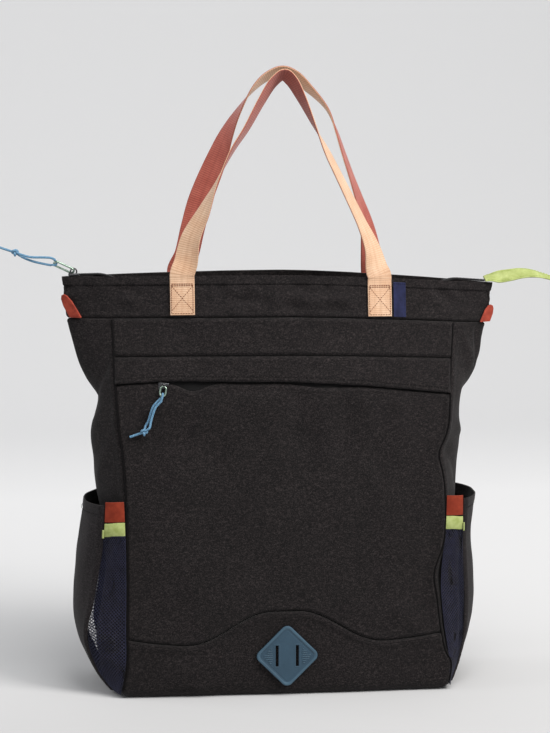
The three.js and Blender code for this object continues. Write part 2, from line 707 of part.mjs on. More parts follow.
// Two strands from a wire loop to a knot, the knot and one tail, from lists of points.
function pullCords(prefix, { knot, upper, lower, tail }) {
  for (const [word, strand] of [["upper", upper], ["lower", lower]]) {
    const points = [...strand, atKnot(knot[0], strand[strand.length - 1])];
    add(prefix + "_cord_" + word, cordTube(points, CORD_DIAMETER), BLUE_CORD);
  }
  add(prefix + "_knot", knotGeometry(knot[0]), BLUE_CORD);
  add(prefix + "_cord_tail", cordTube([atKnot(knot[0], tail[0]), ...tail], CORD_DIAMETER), BLUE_CORD);
}

function eachRow(cords, place) {
  return Object.fromEntries(Object.entries(cords).map(([word, rows]) => [word, rows.map(place)]));
}

function topPull() {
  const base = new THREE.Vector3(TOP_SLIDER_X, 0, rimHeight(TOP_SLIDER_X) + 2 * TOUCH);
  const slider = add("top_zip_slider", sliderGeometry(false), WIRE_STEEL);
  slider.position.copy(base);
  const eye = base.clone().add(new THREE.Vector3(0, 0, sliderEyeHeight()));
  const across = new THREE.Vector3(0, 1, 0).applyAxisAngle(TOP_PULL_ALONG, 0.4);
  add("top_zip_pull_loop", wireLoop(eye, TOP_PULL_ALONG, across, PULL_LOOP_LENGTH, PULL_LOOP_WIDTH), WIRE_STEEL);
  const tip = eye.clone().addScaledVector(TOP_PULL_ALONG, PULL_LOOP_LENGTH - 2 * PULL_WIRE_RADIUS);
  const place = ({ out, side, up }) =>
    new THREE.Vector3(-out, side, up).multiplyScalar(TOP_PULL_REACH).add(tip);
  pullCords("top_pull", eachRow(TOP_CORDS, place));
}

// The tape, chain, slider and pull of the front pocket's zip, under the loose edge of the flap.
const POCKET_CHAIN_RISE = 3.5;
function pocketZip() {
  const end = POCKET_ZIP_SHARE;
  const skin = (wall) => (i, j) => {
    const across = (2 * i - 1) * end;
    const height = flapEdge(across) + POCKET_CHAIN_RISE + (j - 0.5) * POCKET_TAPE_HEIGHT;
    return facePoint(across, height, wall, -1);
  };
  const behind = PANEL_WALL + 2 * TOUCH;
  add("pocket_zip_tape", sheet(20, 2, skin(behind), skin(behind + ZIP_TAPE_THICKNESS)), ZIP_COIL);
  const from = acrossAt(POCKET_SLIDER_X + SLIDER_LENGTH / 2 + TOUCH, FLAP_EDGE_HEIGHT);
  const stations = [];
  const steps = 16;
  for (let i = 0; i <= steps; i += 1) {
    const across = from + ((end - from) * i) / steps;
    const middle = behind - 2 * TOUCH - POCKET_CHAIN_THICKNESS / 2;
    const height = flapEdge(across) + POCKET_CHAIN_RISE;
    const at = (rise) => facePoint(across, height + (rise * POCKET_CHAIN_WIDTH) / 2, middle, -1);
    const wide = at(1).sub(at(-1)).normalize();
    stations.push({ centre: at(0), wide, face: new THREE.Vector3(0, -wide.z, wide.y) });
  }
  add("pocket_zip_chain", webbing(stations, POCKET_CHAIN_WIDTH, POCKET_CHAIN_THICKNESS), ZIP_COIL);
}

// The front pocket's pull hangs over the pocket cloth. Places are measured from the slider's middle and the flap's
// edge in shares of POCKET_PULL_DROP. Stand is how far the cord's middle is in front of the cloth, in diameters.
const HANG_COLUMNS = ["aside", "down", "stand"];
const POCKET_CORDS = {
  knot: table(HANG_COLUMNS, [[0.414, 1.014, 1.9]]),
  upper: table(HANG_COLUMNS, [
    [0.05, 0.38, 1.7],
    [0.166, 0.5, 1.8],
    [0.228, 0.64, 1.8],
    [0.28, 0.82, 1.9],
    [0.308, 0.928, 2.6],
  ]),
  lower: table(HANG_COLUMNS, [
    [0.106, 0.372, 0.8],
    [0.216, 0.494, 0.7],
    [0.272, 0.634, 0.7],
    [0.328, 0.81, 0.7],
    [0.384, 0.904, 0.9],
  ]),
  tail: table(HANG_COLUMNS, [
    [0.55, 1.064, 1],
    [0.71, 1.12, 0.8],
  ]),
};

function beforeCloth({ aside, down, stand }) {
  const x = POCKET_SLIDER_X - aside * POCKET_PULL_DROP;
  const point = frontSurface(x, FLAP_EDGE_HEIGHT - down * POCKET_PULL_DROP);
  point.y -= stand * CORD_DIAMETER;
  return point;
}

function pocketPull() {
  const across = acrossAt(POCKET_SLIDER_X, FLAP_EDGE_HEIGHT);
  const middle = flapEdge(across) - SLIDER_WIDTH / 2 - 3 * TOUCH;
  const seat = frontSurface(POCKET_SLIDER_X, middle);
  seat.y += PANEL_WALL;
  const [low, high] = [-1, 1].map((end) => frontSurface(POCKET_SLIDER_X, middle + (end * SLIDER_WIDTH) / 2));
  const lean = Math.atan2(high.y - low.y, high.z - low.z);
  const slider = add("pocket_zip_slider", sliderGeometry(true), WIRE_STEEL);
  slider.position.copy(seat);
  slider.rotation.x = Math.PI / 2 - lean;
  const eye = seat.clone().add(new THREE.Vector3(0, -sliderEyeHeight(), 0));
  const along = new THREE.Vector3(-0.16, -0.22, -0.96).normalize();
  const side = new THREE.Vector3(1, 0, 0).addScaledVector(along, -along.x).normalize();
  add("pocket_zip_pull_loop", wireLoop(eye, along, side, POCKET_LOOP_LENGTH, PULL_LOOP_WIDTH), WIRE_STEEL);
  pullCords("pocket_pull", eachRow(POCKET_CORDS, beforeCloth));
}

// The four free legs of the handles. The rise is a share of the way from the sewn end up to the top, out is the
// distance from the top's middle as a share of that at the sewn end, and twist is a share of HANDLE_APEX_TWIST.
const LEG_COLUMNS = ["rise", "out", "twist"];
const HANDLE_LEGS = {
  front: {
    left: table(LEG_COLUMNS, [
      [0, 1, 0],
      [0.08, 0.965, 0.12],
      [0.2, 0.915, 0.34],
      [0.33, 0.79, 0.53],
      [0.46, 0.672, 0.76],
      [0.63, 0.506, 0.88],
      [0.74, 0.365, 0.92],
      [0.87, 0.222, 0.96],
      [0.965, 0.1, 0.99],
      [1, 0, 1],
    ]),
    right: table(LEG_COLUMNS, [
      [0, 1, 0],
      [0.06, 0.972, 0.1],
      [0.16, 0.925, 0.36],
      [0.28, 0.817, 0.51],
      [0.45, 0.64, 0.56],
      [0.63, 0.449, 0.6],
      [0.76, 0.313, 0.77],
      [0.89, 0.18, 0.9],
      [0.97, 0.08, 0.98],
      [1, 0, 1],
    ]),
  },
  rear: {
    left: table(LEG_COLUMNS, [
      [0, 1, 0],
      [0.1, 0.93, 0.03],
      [0.23, 0.868, 0.09],
      [0.36, 0.8, 0.17],
      [0.46, 0.725, 0.24],
      [0.59, 0.618, 0.38],
      [0.69, 0.54, 0.54],
      [0.79, 0.44, 0.7],
      [0.92, 0.265, 0.9],
      [0.975, 0.14, 0.97],
      [1, 0, 1],
    ]),
    right: table(LEG_COLUMNS, [
      [0, 1, 0],
      [0.12, 0.975, 0.26],
      [0.26, 0.925, 0.48],
      [0.37, 0.85, 0.58],
      [0.48, 0.765, 0.64],
      [0.61, 0.665, 0.67],
      [0.71, 0.59, 0.7],
      [0.82, 0.485, 0.78],
      [0.93, 0.26, 0.92],
      [0.98, 0.13, 0.98],
      [1, 0, 1],
    ]),
  },
};

// The middle of a handle's sewn end at a height on the rim band, and the turn of the band's cloth there.
function sewnPlace(side, facing, height) {
  const stand = -(HANDLE_TOUCH + HANDLE_WEBBING_THICKNESS / 2);
  const x = side * HANDLE_HALF_SPACING;
  const at = (shift) => facePoint(acrossAt(x + shift, height), height, stand, facing);
  const half = HANDLE_WEBBING_WIDTH / 2;
  const chord = at(half).sub(at(-half));
  const centre = at(0);
  centre.x = x;
  return { centre, turn: side * Math.atan2(chord.y, chord.x) };
}

function handle(facing, word) {
  const top = BODY_HEIGHT + HANDLE_RISE + (facing > 0 ? REAR_HANDLE_EXTRA_RISE : 0);
  const apex = new THREE.Vector3(HANDLE_APEX_X, facing * HANDLE_APEX_HALF_GAP, top);
  const sewnTop = BAND_SEAM_HEIGHT + SEWN_MARGIN + HANDLE_SEWN_LENGTH;
  const full = THREE.MathUtils.degToRad(HANDLE_APEX_TWIST);
  const legs = {};
  for (const [side, name] of [[-1, "left"], [1, "right"]]) {
    const leg = [];
    for (const height of [sewnTop - HANDLE_SEWN_LENGTH, sewnTop - HANDLE_SEWN_LENGTH / 2, sewnTop]) {
      const { centre, turn } = sewnPlace(side, facing, height);
      leg.push({ centre, twist: turn });
    }
    const start = leg[leg.length - 1];
    const overRim = start.centre.clone();
    overRim.z = rimHeight(overRim.x) + HANDLE_WEBBING_THICKNESS;
    leg.push({ centre: overRim, twist: start.twist });
    for (const row of HANDLE_LEGS[word][name].slice(1)) {
      const centre = start.centre.clone().lerp(apex, row.rise);
      centre.x = apex.x + (start.centre.x - apex.x) * row.out;
      leg.push({ centre, twist: start.twist + (full - start.twist) * row.twist });
    }
    legs[name] = leg;
  }
  const knots = [...legs.left, ...legs.right.slice(0, -1).reverse()];
  const path = new THREE.CatmullRomCurve3(knots.map((k) => k.centre), false, "centripetal");
  const perSpan = 2;
  const stations = [];
  const total = (knots.length - 1) * perSpan;
  for (let s = 0; s <= total; s += 1) {
    const t = s / total;
    const i = Math.min(Math.floor(s / perSpan), knots.length - 2);
    const within = s / perSpan - i;
    const blend = within * within * (3 - 2 * within);
    const twist = knots[i].twist + (knots[i + 1].twist - knots[i].twist) * blend;
    const ahead = path.getTangent(t);
    const front = new THREE.Vector3(0, -1, 0).addScaledVector(ahead, ahead.y).normalize();
    const outward = new THREE.Vector3().crossVectors(front, ahead);
    const face = front.multiplyScalar(Math.cos(twist)).addScaledVector(outward, Math.sin(twist));
    const wide = new THREE.Vector3().crossVectors(ahead, face);
    stations.push({ centre: path.getPoint(t), wide, face });
  }
  add("handle_" + word, webbing(stations, HANDLE_WEBBING_WIDTH, HANDLE_WEBBING_THICKNESS), PEACH_WEBBING);
}

// The bare label sewn beside the right end of the front handle.
function label() {
  const left = HANDLE_HALF_SPACING + HANDLE_WEBBING_WIDTH / 2 + LABEL_GAP;
  const low = BAND_SEAM_HEIGHT + SEWN_MARGIN;
  const skin = (stand) => (i, j) => {
    const height = low + LABEL_HEIGHT * j;
    return facePoint(acrossAt(left + LABEL_WIDTH * i, height), height, -stand, -1);
  };
  add("label", sheet(2, 3, skin(TOUCH + LABEL_THICKNESS), skin(TOUCH)), NAVY_LABEL);
}

// The diamond-shaped lash patch with its two slots, flat against the yoke.
function lashPatch() {
  const half = PATCH_SIDE / 2;
  const round = PATCH_CORNER_RADIUS;
  const outline = new THREE.Shape();
  const corners = [[1, 1], [-1, 1], [-1, -1], [1, -1]];
  corners.forEach(([sx, sy], i) => {
    const from = i * (Math.PI / 2);
    outline.absarc(sx * (half - round), sy * (half - round), round, from, from + Math.PI / 2, false);
  });
  outline.closePath();
  const turn = Math.PI / 4;
  for (const side of [-1, 1]) {
    const slot = new THREE.Path();
    const [w, h] = [PATCH_SLOT_WIDTH / 2, PATCH_SLOT_LENGTH / 2];
    const rim = [[-w, -h], [w, -h], [w, h], [-w, h]].map(([x, y]) =>
      new THREE.Vector2(x + (side * PATCH_SLOT_SPACING) / 2, y).rotateAround(new THREE.Vector2(), -turn),
    );
    slot.setFromPoints([...rim, rim[0]]);
    outline.holes.push(slot);
  }
  const plate = new THREE.ExtrudeGeometry(outline, {
    depth: PATCH_THICKNESS, bevelEnabled: false, curveSegments: 4,
  });
  plate.rotateZ(turn);
  plate.rotateX(Math.PI / 2);
  const mesh = add("lash_patch", plate, SLATE_RUBBER);
  const reach = PATCH_SIDE * Math.SQRT1_2;
  const [low, high] = [frontSurface(0, PATCH_HEIGHT - reach * 0.8), frontSurface(0, PATCH_HEIGHT + reach * 0.8)];
  let foremost = 0;
  for (let z = -0.8; z <= 0.8; z += 0.2) {
    foremost = Math.min(foremost, frontSurface(0, PATCH_HEIGHT + z * reach).y);
  }
  mesh.rotation.x = Math.atan2(high.y - low.y, high.z - low.z) * -1;
  mesh.position.set(1, foremost - 2 * TOUCH, PATCH_HEIGHT);
}

// The short folded loops of webbing sewn in at the two lower corners of the rim band, seen edge-on at their tips.
function sideLoops() {
  const places = table(
    ["side", "inFromRim", "stand", "overSeam", "tipOut", "tipBack", "tipRise", "turn"],
    [
      [-1, 11.5, 1.65, 2.5, 11.1, 1.3, 20, 0.5],
      [1, 6.5, 2.95, -9, 6.7, 3.5, 15, -0.5],
    ],
  );
  for (const { side, inFromRim, stand, overSeam, tipOut, tipBack, tipRise, turn } of places) {
    const word = side < 0 ? "left" : "right";
    const x = side * (RIM_HALF_WIDTH - inFromRim);
    const height = BAND_SEAM_HEIGHT + overSeam;
    const onBand = bandDepth(x, height + droop(x, height / BODY_HEIGHT), 0);
    const from = new THREE.Vector3(x, -(onBand + stand), height);
    const to = from.clone().add(new THREE.Vector3(side * tipOut, tipBack, tipRise));
    const ahead = to.clone().sub(from).normalize();
    const face = new THREE.Vector3(-Math.sin(turn), -Math.cos(turn), 0);
    face.addScaledVector(ahead, -face.dot(ahead)).normalize();
    const wide = new THREE.Vector3().crossVectors(ahead, face);
    const stations = [0, 0.5, 0.85, 1].map((share, i) => ({
      centre: from.clone().lerp(to, share),
      wide: wide.clone().multiplyScalar([1, 0.95, 0.7, 0.4][i]),
      face,
    }));
    add("side_loop_" + word, webbing(stations, SIDE_LOOP_WIDTH, SIDE_LOOP_THICKNESS), RUST_WEBBING);
  }
}

// The tab folded over the right end of the top zip. Places run along it as shares of its length, with its rise
// above its own start and its roll from lying flat, in degrees.
const END_TAB_ROWS = table(
  ["along", "rise", "roll"],
  [
    [0, 0, 14],
    [0.1, 1.2, 26],
    [0.22, 2, 52],
    [0.36, 3.4, 50],
    [0.52, 5.2, 40],
    [0.66, 5.2, 28],
    [0.82, 3, 17],
    [1, -1, 8],
  ],
);

function endTab() {
  const start = RIM_HALF_WIDTH - 8 + TOUCH;
  const base = topChainHeight(start) + 1.6;
  const stations = [];
  for (let i = 0; i <= 18; i += 1) {
    const row = sample(END_TAB_ROWS, "along", i / 18);
    const roll = THREE.MathUtils.degToRad(row.roll);
    stations.push({
      centre: new THREE.Vector3(start + row.along * END_TAB_LENGTH, 0, base + row.rise),
      wide: new THREE.Vector3(0, Math.cos(roll), Math.sin(roll)),
      face: new THREE.Vector3(0, -Math.sin(roll), Math.cos(roll)),
    });
  }
  add("zip_end_tab", webbing(stations, END_TAB_WIDTH, END_TAB_THICKNESS), LIME_TRIM);
}

// The side pockets. Heights are shares of SIDE_POCKET_HEIGHT, the edges and the bulge between them are distances
// from the middle of the bag as shares of SIDE_POCKET_SPREAD.
const SIDE_POCKET_ROWS = table(
  ["height", "edgeLeft", "bulgeLeft", "edgeRight", "bulgeRight"],
  [
    [0, 0.81, 0.83, 0.815, 0.83],
    [0.06, 0.858, 0.88, 0.838, 0.855],
    [0.13, 0.9, 0.924, 0.86, 0.88],
    [0.27, 0.946, 0.977, 0.885, 0.93],
    [0.37, 0.944, 0.997, 0.888, 0.95],
    [0.48, 0.921, 1, 0.888, 0.955],
    [0.62, 0.898, 0.991, 0.884, 0.952],
    [0.75, 0.876, 0.982, 0.88, 0.943],
    [0.9, 0.867, 0.961, 0.88, 0.95],
    [1, 0.862, 0.95, 0.88, 0.957],
  ],
);

function sidePocketRow(side, height) {
  const row = sample(SIDE_POCKET_ROWS, "height", height / SIDE_POCKET_HEIGHT);
  return {
    edge: (side < 0 ? row.edgeLeft : row.edgeRight) * SIDE_POCKET_SPREAD,
    bulge: (side < 0 ? row.bulgeLeft : row.bulgeRight) * SIDE_POCKET_SPREAD,
  };
}

// A point between the bag's corner seam and the pocket's front or rear edge, for a share across and a height.
function pocketGusset(side, facing, across, height, thick) {
  const seam = gussetPoint(side, facing, height, 0);
  const { edge } = sidePocketRow(side, height);
  const from = Math.abs(seam.x) + POCKET_SEAM_CLEARANCE;
  const to = edge - SIDE_POCKET_WALL - 3 * TOUCH;
  const y = Math.abs(seam.y) + (SIDE_POCKET_HALF_DEPTH - Math.abs(seam.y)) * across;
  const sag = POCKET_SAG * Math.sin(Math.PI * across);
  return new THREE.Vector3(side * (from + (to - from) * across), facing * (y + sag - thick), height);
}

function sidePockets() {
  const tabTop = SIDE_POCKET_HEIGHT + 4;
  const tabLow = tabTop - POCKET_TAB_HEIGHT;
  const bindingLow = tabLow - SEAM_GAP - POCKET_BINDING_HEIGHT;
  for (const [side, word] of [[-1, "left"], [1, "right"]]) {
    const skin = (wall) => (i, j) => {
      const height = SIDE_POCKET_FLOOR + (SIDE_POCKET_HEIGHT - SIDE_POCKET_FLOOR) * j;
      const { edge, bulge } = sidePocketRow(side, height);
      const v = 2 * i - 1;
      const x = edge + (bulge - edge) * (1 - Math.abs(v) ** 2.4) - wall;
      return new THREE.Vector3(side * x, v * SIDE_POCKET_HALF_DEPTH, height);
    };
    add("side_pocket_" + word + "_panel", sheet(8, 10, skin(0), skin(SIDE_POCKET_WALL)), CLOTH);
    for (const [facing, end] of [[-1, "front"], [1, "rear"]]) {
      const strip = (name, low, high, thick, rows, look) => {
        const layer = (depth) => (i, j) => pocketGusset(side, facing, i, low + (high - low) * j, depth);
        add(["side_pocket", word, name, end].join("_"), sheet(3, rows, layer(0), layer(thick)), look);
      };
      strip("mesh", SIDE_POCKET_FLOOR + BASE_EDGE_RADIUS, bindingLow - SEAM_GAP, MESH_THICKNESS, 9, MESH_CLOTH);
      strip("binding", bindingLow, tabLow - SEAM_GAP, TRIM_THICKNESS, 1, LIME_TRIM);
      strip("tab", tabLow, tabTop, TRIM_THICKNESS, 1, RUST_WEBBING);
    }
  }
}

// A plain padded shoulder strap with its ladder buckle and lower webbing.
function strapPoint(side, share) {
  const height = STRAP_TOP_HEIGHT + (STRAP_LOW_HEIGHT - STRAP_TOP_HEIGHT) * share;
  const x = side * (STRAP_TOP_X + (STRAP_LOW_X - STRAP_TOP_X) * share ** 1.5);
  const cloth = facePoint(acrossAt(x - (side * STRAP_PAD_WIDTH) / 2, height), height, 0, 1);
  const bow = STRAP_BOW * Math.sin(Math.PI * 0.86 * share);
  return new THREE.Vector3(x, cloth.y + STRAP_PAD_THICKNESS / 2 + 2 * TOUCH + bow, cloth.z);
}

function bandStations(points) {
  const path = new THREE.CatmullRomCurve3(points, false, "centripetal");
  const count = points.length - 1;
  return points.map((_, i) => {
    const ahead = path.getTangent(i / count);
    const wide = new THREE.Vector3(1, 0, 0).addScaledVector(ahead, -ahead.x).normalize();
    return { centre: path.getPoint(i / count), wide, face: new THREE.Vector3().crossVectors(wide, ahead) };
  });
}

function buckleGeometry() {
  const frame = new THREE.Shape();
  const [w, h] = [BUCKLE_WIDTH / 2, BUCKLE_LENGTH / 2];
  frame.setFromPoints([[-w, -h], [w, -h], [w, h], [-w, h], [-w, -h]].map(([x, y]) => new THREE.Vector2(x, y)));
  const bar = BUCKLE_LENGTH / 7;
  for (const middle of [-1.5 * bar, 1.5 * bar]) {
    const slot = new THREE.Path();
    const [a, b] = [w - bar, bar];
    slot.setFromPoints(
      [[-a, middle - b], [a, middle - b], [a, middle + b], [-a, middle + b], [-a, middle - b]].map(
        ([x, y]) => new THREE.Vector2(x, y),
      ),
    );
    frame.holes.push(slot);
  }
  const body = new THREE.ExtrudeGeometry(frame, { depth: BUCKLE_THICKNESS, bevelEnabled: false });
  body.translate(0, 0, -BUCKLE_THICKNESS / 2);
  return body;
}

function shoulderStraps() {
  for (const [side, word] of [[-1, "left"], [1, "right"]]) {
    const points = [];
    for (let i = 0; i <= 12; i += 1) points.push(strapPoint(side, i / 12));
    const pad = webbing(bandStations(points), STRAP_PAD_WIDTH, STRAP_PAD_THICKNESS);
    add("shoulder_strap_" + word, pad, STRAP_CLOTH);
    const inner = side * (STRAP_FOOT_X - STRAP_WEBBING_WIDTH / 2);
    const foot = facePoint(acrossAt(inner, STRAP_FOOT_HEIGHT), STRAP_FOOT_HEIGHT, 0, 1);
    foot.x = side * STRAP_FOOT_X;
    foot.y += STRAP_WEBBING_THICKNESS / 2 + 4 * TOUCH;
    const low = points[points.length - 1];
    const ahead = foot.clone().sub(low).normalize();
    const wide = new THREE.Vector3(1, 0, 0).addScaledVector(ahead, -ahead.x).normalize();
    const face = new THREE.Vector3().crossVectors(wide, ahead);
    const buckleStart = STRAP_PAD_THICKNESS / 2 + TOUCH;
    const buckle = add("strap_buckle_" + word, buckleGeometry(), BUCKLE_PLASTIC);
    buckle.applyMatrix4(new THREE.Matrix4().makeBasis(wide, ahead, face));
    buckle.position.copy(low.clone().addScaledVector(ahead, buckleStart + BUCKLE_LENGTH / 2));
    const from = low.clone().addScaledVector(ahead, buckleStart + BUCKLE_LENGTH + TOUCH);
    const stations = [0, 0.5, 1].map((share) => ({ centre: from.clone().lerp(foot, share), wide, face }));
    add("strap_webbing_" + word, webbing(stations, STRAP_WEBBING_WIDTH, STRAP_WEBBING_THICKNESS), STRAP_CLOTH);
  }
}

bodyPanels();
basePanel();
rimBand();
topZip();
topPull();
pocketZip();
pocketPull();
handle(-1, "front");
handle(1, "rear");
label();
lashPatch();
sideLoops();
endTab();
sidePockets();
shoulderStraps();

export default model;
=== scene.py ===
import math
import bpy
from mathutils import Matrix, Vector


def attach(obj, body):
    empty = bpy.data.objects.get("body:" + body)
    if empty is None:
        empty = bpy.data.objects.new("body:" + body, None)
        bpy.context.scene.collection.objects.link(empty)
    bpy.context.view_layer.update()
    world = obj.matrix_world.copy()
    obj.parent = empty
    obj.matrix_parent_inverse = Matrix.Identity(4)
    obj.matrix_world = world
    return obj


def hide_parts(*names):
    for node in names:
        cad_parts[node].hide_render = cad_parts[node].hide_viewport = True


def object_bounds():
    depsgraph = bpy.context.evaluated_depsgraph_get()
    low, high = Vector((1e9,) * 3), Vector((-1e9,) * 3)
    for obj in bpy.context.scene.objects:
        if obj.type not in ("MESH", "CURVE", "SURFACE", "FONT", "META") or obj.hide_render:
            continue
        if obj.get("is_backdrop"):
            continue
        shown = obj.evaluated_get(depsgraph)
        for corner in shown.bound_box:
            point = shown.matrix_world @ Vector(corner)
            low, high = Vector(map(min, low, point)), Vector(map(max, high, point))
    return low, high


bl_info = {
    "name": "Convertible Backpack",
    "version": (1, 0, 0),
    "blender": (4, 5, 0),
    "location": "3D Viewport > Sidebar > Backpack",
    "description": "Dresses the packed solids of a tote backpack in cloth, webbing, netting, cord and rubber",
    "category": "Object",
}

from types import SimpleNamespace

import bmesh
import bpy
from bpy.props import FloatProperty, PointerProperty
from mathutils import Matrix, Vector, noise

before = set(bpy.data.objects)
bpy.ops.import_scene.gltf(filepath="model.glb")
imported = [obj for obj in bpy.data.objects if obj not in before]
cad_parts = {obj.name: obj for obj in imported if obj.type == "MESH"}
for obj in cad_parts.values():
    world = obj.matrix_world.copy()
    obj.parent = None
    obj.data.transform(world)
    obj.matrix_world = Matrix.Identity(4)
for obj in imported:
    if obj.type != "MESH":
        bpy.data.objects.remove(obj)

MM = 0.001
SIDES = ((-1, "left"), (1, "right"))
FACES = ((-1, "front"), (1, "rear"))

# The part's own sizes, in millimetres.
BODY_HEIGHT = 434
RIM_HALF_WIDTH = 225
BODY_HALF_DEPTH = 70
BASE_EDGE_RADIUS = 10
PANEL_WALL = 2
SEAM_GAP = 0.3
CORNER_SEAM_GAP = 0.6
# Radius of the thin dark tube painted along each corner seam as its shadow line.
CORNER_SEAM_SHADOW_RADIUS = 0.7
BAND_FACE_SHARE = 0.84
TOP_TAPE_REACH_SHARE = 0.84
RIM_DROP_RIGHT = 13
RIM_DROP_LEFT = 2
BAND_SEAM_HEIGHT = 391
FLAP_STITCH_HEIGHT = 352
FLAP_EDGE_HEIGHT = 327
FLAP_LIFT = 3
TOPSTITCH_OFFSET = 2.6
FLAP_STITCH_OFFSET = 5.5
HEM_STITCH_DROP = 9
POCKET_HEM_DROP = 10
YOKE_SEAM_HEIGHT = 55
YOKE_WAVE_RISE = 34
YOKE_CREST_HALF_WIDTH = 14
YOKE_WAVE_HALF_WIDTH = 102
ZIP_RECESS = 11
TOP_CHAIN_WIDTH = 6
TOP_CHAIN_THICKNESS = 2.4
POCKET_ZIP_SHARE = 0.948
POCKET_CHAIN_WIDTH = 5
POCKET_CHAIN_THICKNESS = 1.8
POCKET_CHAIN_RISE = 3.5
POCKET_TAPE_HEIGHT = 30
SLIDER_LENGTH = 11
SLIDER_WIDTH = 8
SLIDER_THICKNESS = 2.4
SLIDER_BOW_RADIUS = 3.2
SLIDER_BOW_WIRE_RADIUS = 0.8
SLIDER_EYE_RADIUS = 2.4
TOP_SLIDER_X = -213
POCKET_SLIDER_X = -123.1
TOP_PULL_REACH = 40
POCKET_PULL_DROP = 50
PULL_LOOP_LENGTH = 24
POCKET_LOOP_LENGTH = 12
PULL_LOOP_WIDTH = 8
PULL_WIRE_RADIUS = 1.1
CORD_DIAMETER = 2.5
CORD_STEP = 0.5
KNOT_SPREAD = 1.05
KNOT_LIFT = 1.35
KNOT_CORD_RADIUS = 1.2
PATCH_SIDE = 49
PATCH_CORNER_RADIUS = 7
PATCH_THICKNESS = 3
PATCH_HEIGHT = 43
PATCH_SLOT_WIDTH = 3
PATCH_SLOT_LENGTH = 22
PATCH_SLOT_SPACING = 21
PATCH_RIM_STEP = 0.55
PATCH_RIDGES = 8
PATCH_RIDGE_PITCH = 2.15
PATCH_RIDGE_LEAST = 1.6
LABEL_WIDTH = 13
LABEL_HEIGHT = 36
LABEL_GAP = 1.4
HANDLE_WIDTH = 25.4
HANDLE_THICKNESS = 1.8
HANDLE_HALF_SPACING = 102.4
HANDLE_SEWN_LENGTH = 36
SEWN_MARGIN = 3
HANDLE_RISE = 204.5
REAR_HANDLE_EXTRA_RISE = 3
HANDLE_APEX_X = 4
HANDLE_APEX_HALF_GAP = 12.2
HANDLE_APEX_TWIST = math.radians(117)
HANDLE_TOUCH = 0.4
HANDLE_STEP = 0.55
TWIST_BLEND = 9
SIDE_POCKET_HEIGHT = 200.07
SIDE_POCKET_SPREAD = 217
SIDE_POCKET_HALF_DEPTH = 48.02
SIDE_POCKET_WALL = 1.6
SIDE_POCKET_FLOOR = 4
POCKET_SEAM_CLEARANCE = 1.8
POCKET_SAG = 2.5
LINING_DEPTH = 4.0
POCKET_TAB_HEIGHT = 21
POCKET_BINDING_HEIGHT = 14
END_TAB_LENGTH = 74
END_TAB_WIDTH = 15
END_TAB_THICKNESS = 1.9
LOOP_WIDTH = 12
LOOP_THICKNESS = 2.2
STRAP_PAD_WIDTH = 62
STRAP_PAD_THICKNESS = 9
PAD_VOXEL = 4
PAD_PRESSURE = 4
PAD_FRAMES = 20
PAD_SWELL_LIMIT = 1.2
PAD_SMOOTHINGS = 8
PAD_BINDING_RADIUS = 2.2
STRAP_TOP_X = 58.05
STRAP_LOW_X = 92.03
STRAP_TOP_HEIGHT = 392
STRAP_LOW_HEIGHT = 128.03
STRAP_BOW = 44
STRAP_WEBBING_WIDTH = 25
STRAP_WEBBING_THICKNESS = 1.8
STRAP_FOOT_X = 137.93
STRAP_FOOT_HEIGHT = 34
BUCKLE_WIDTH = 33
BUCKLE_LENGTH = 34
BUCKLE_THICKNESS = 6
TOUCH = 0.3

# The floor that bends up behind, in millimetres.
FLOOR_SIZE = 9000
FLOOR_FLAT = 5200
FLOOR_BEND_RADIUS = 1400
FLOOR_FRONT = -3600

# The camera and the light, in metres. A light has a name, place, size, power in watts and colour.
CAMERA_PLACE = (-0.2628, -2.4621, 0.6829)
CAMERA_TARGET = (-0.004, 0, 0.335)
CAMERA_LENS = 78.19
LIGHTS = (
    ("key", (1.5, -1.2, 1.8), 0.9, 47, (1.0, 0.975, 0.94)),
    ("fill", (-2.2, 0.2, 1.8), 1.6, 17, (0.98, 0.99, 1.0)),
    ("top", (0.2, -0.75, 1.8), 0.9, 16, (1.0, 0.99, 0.97)),
)
WORLD_STRENGTH = 0.58


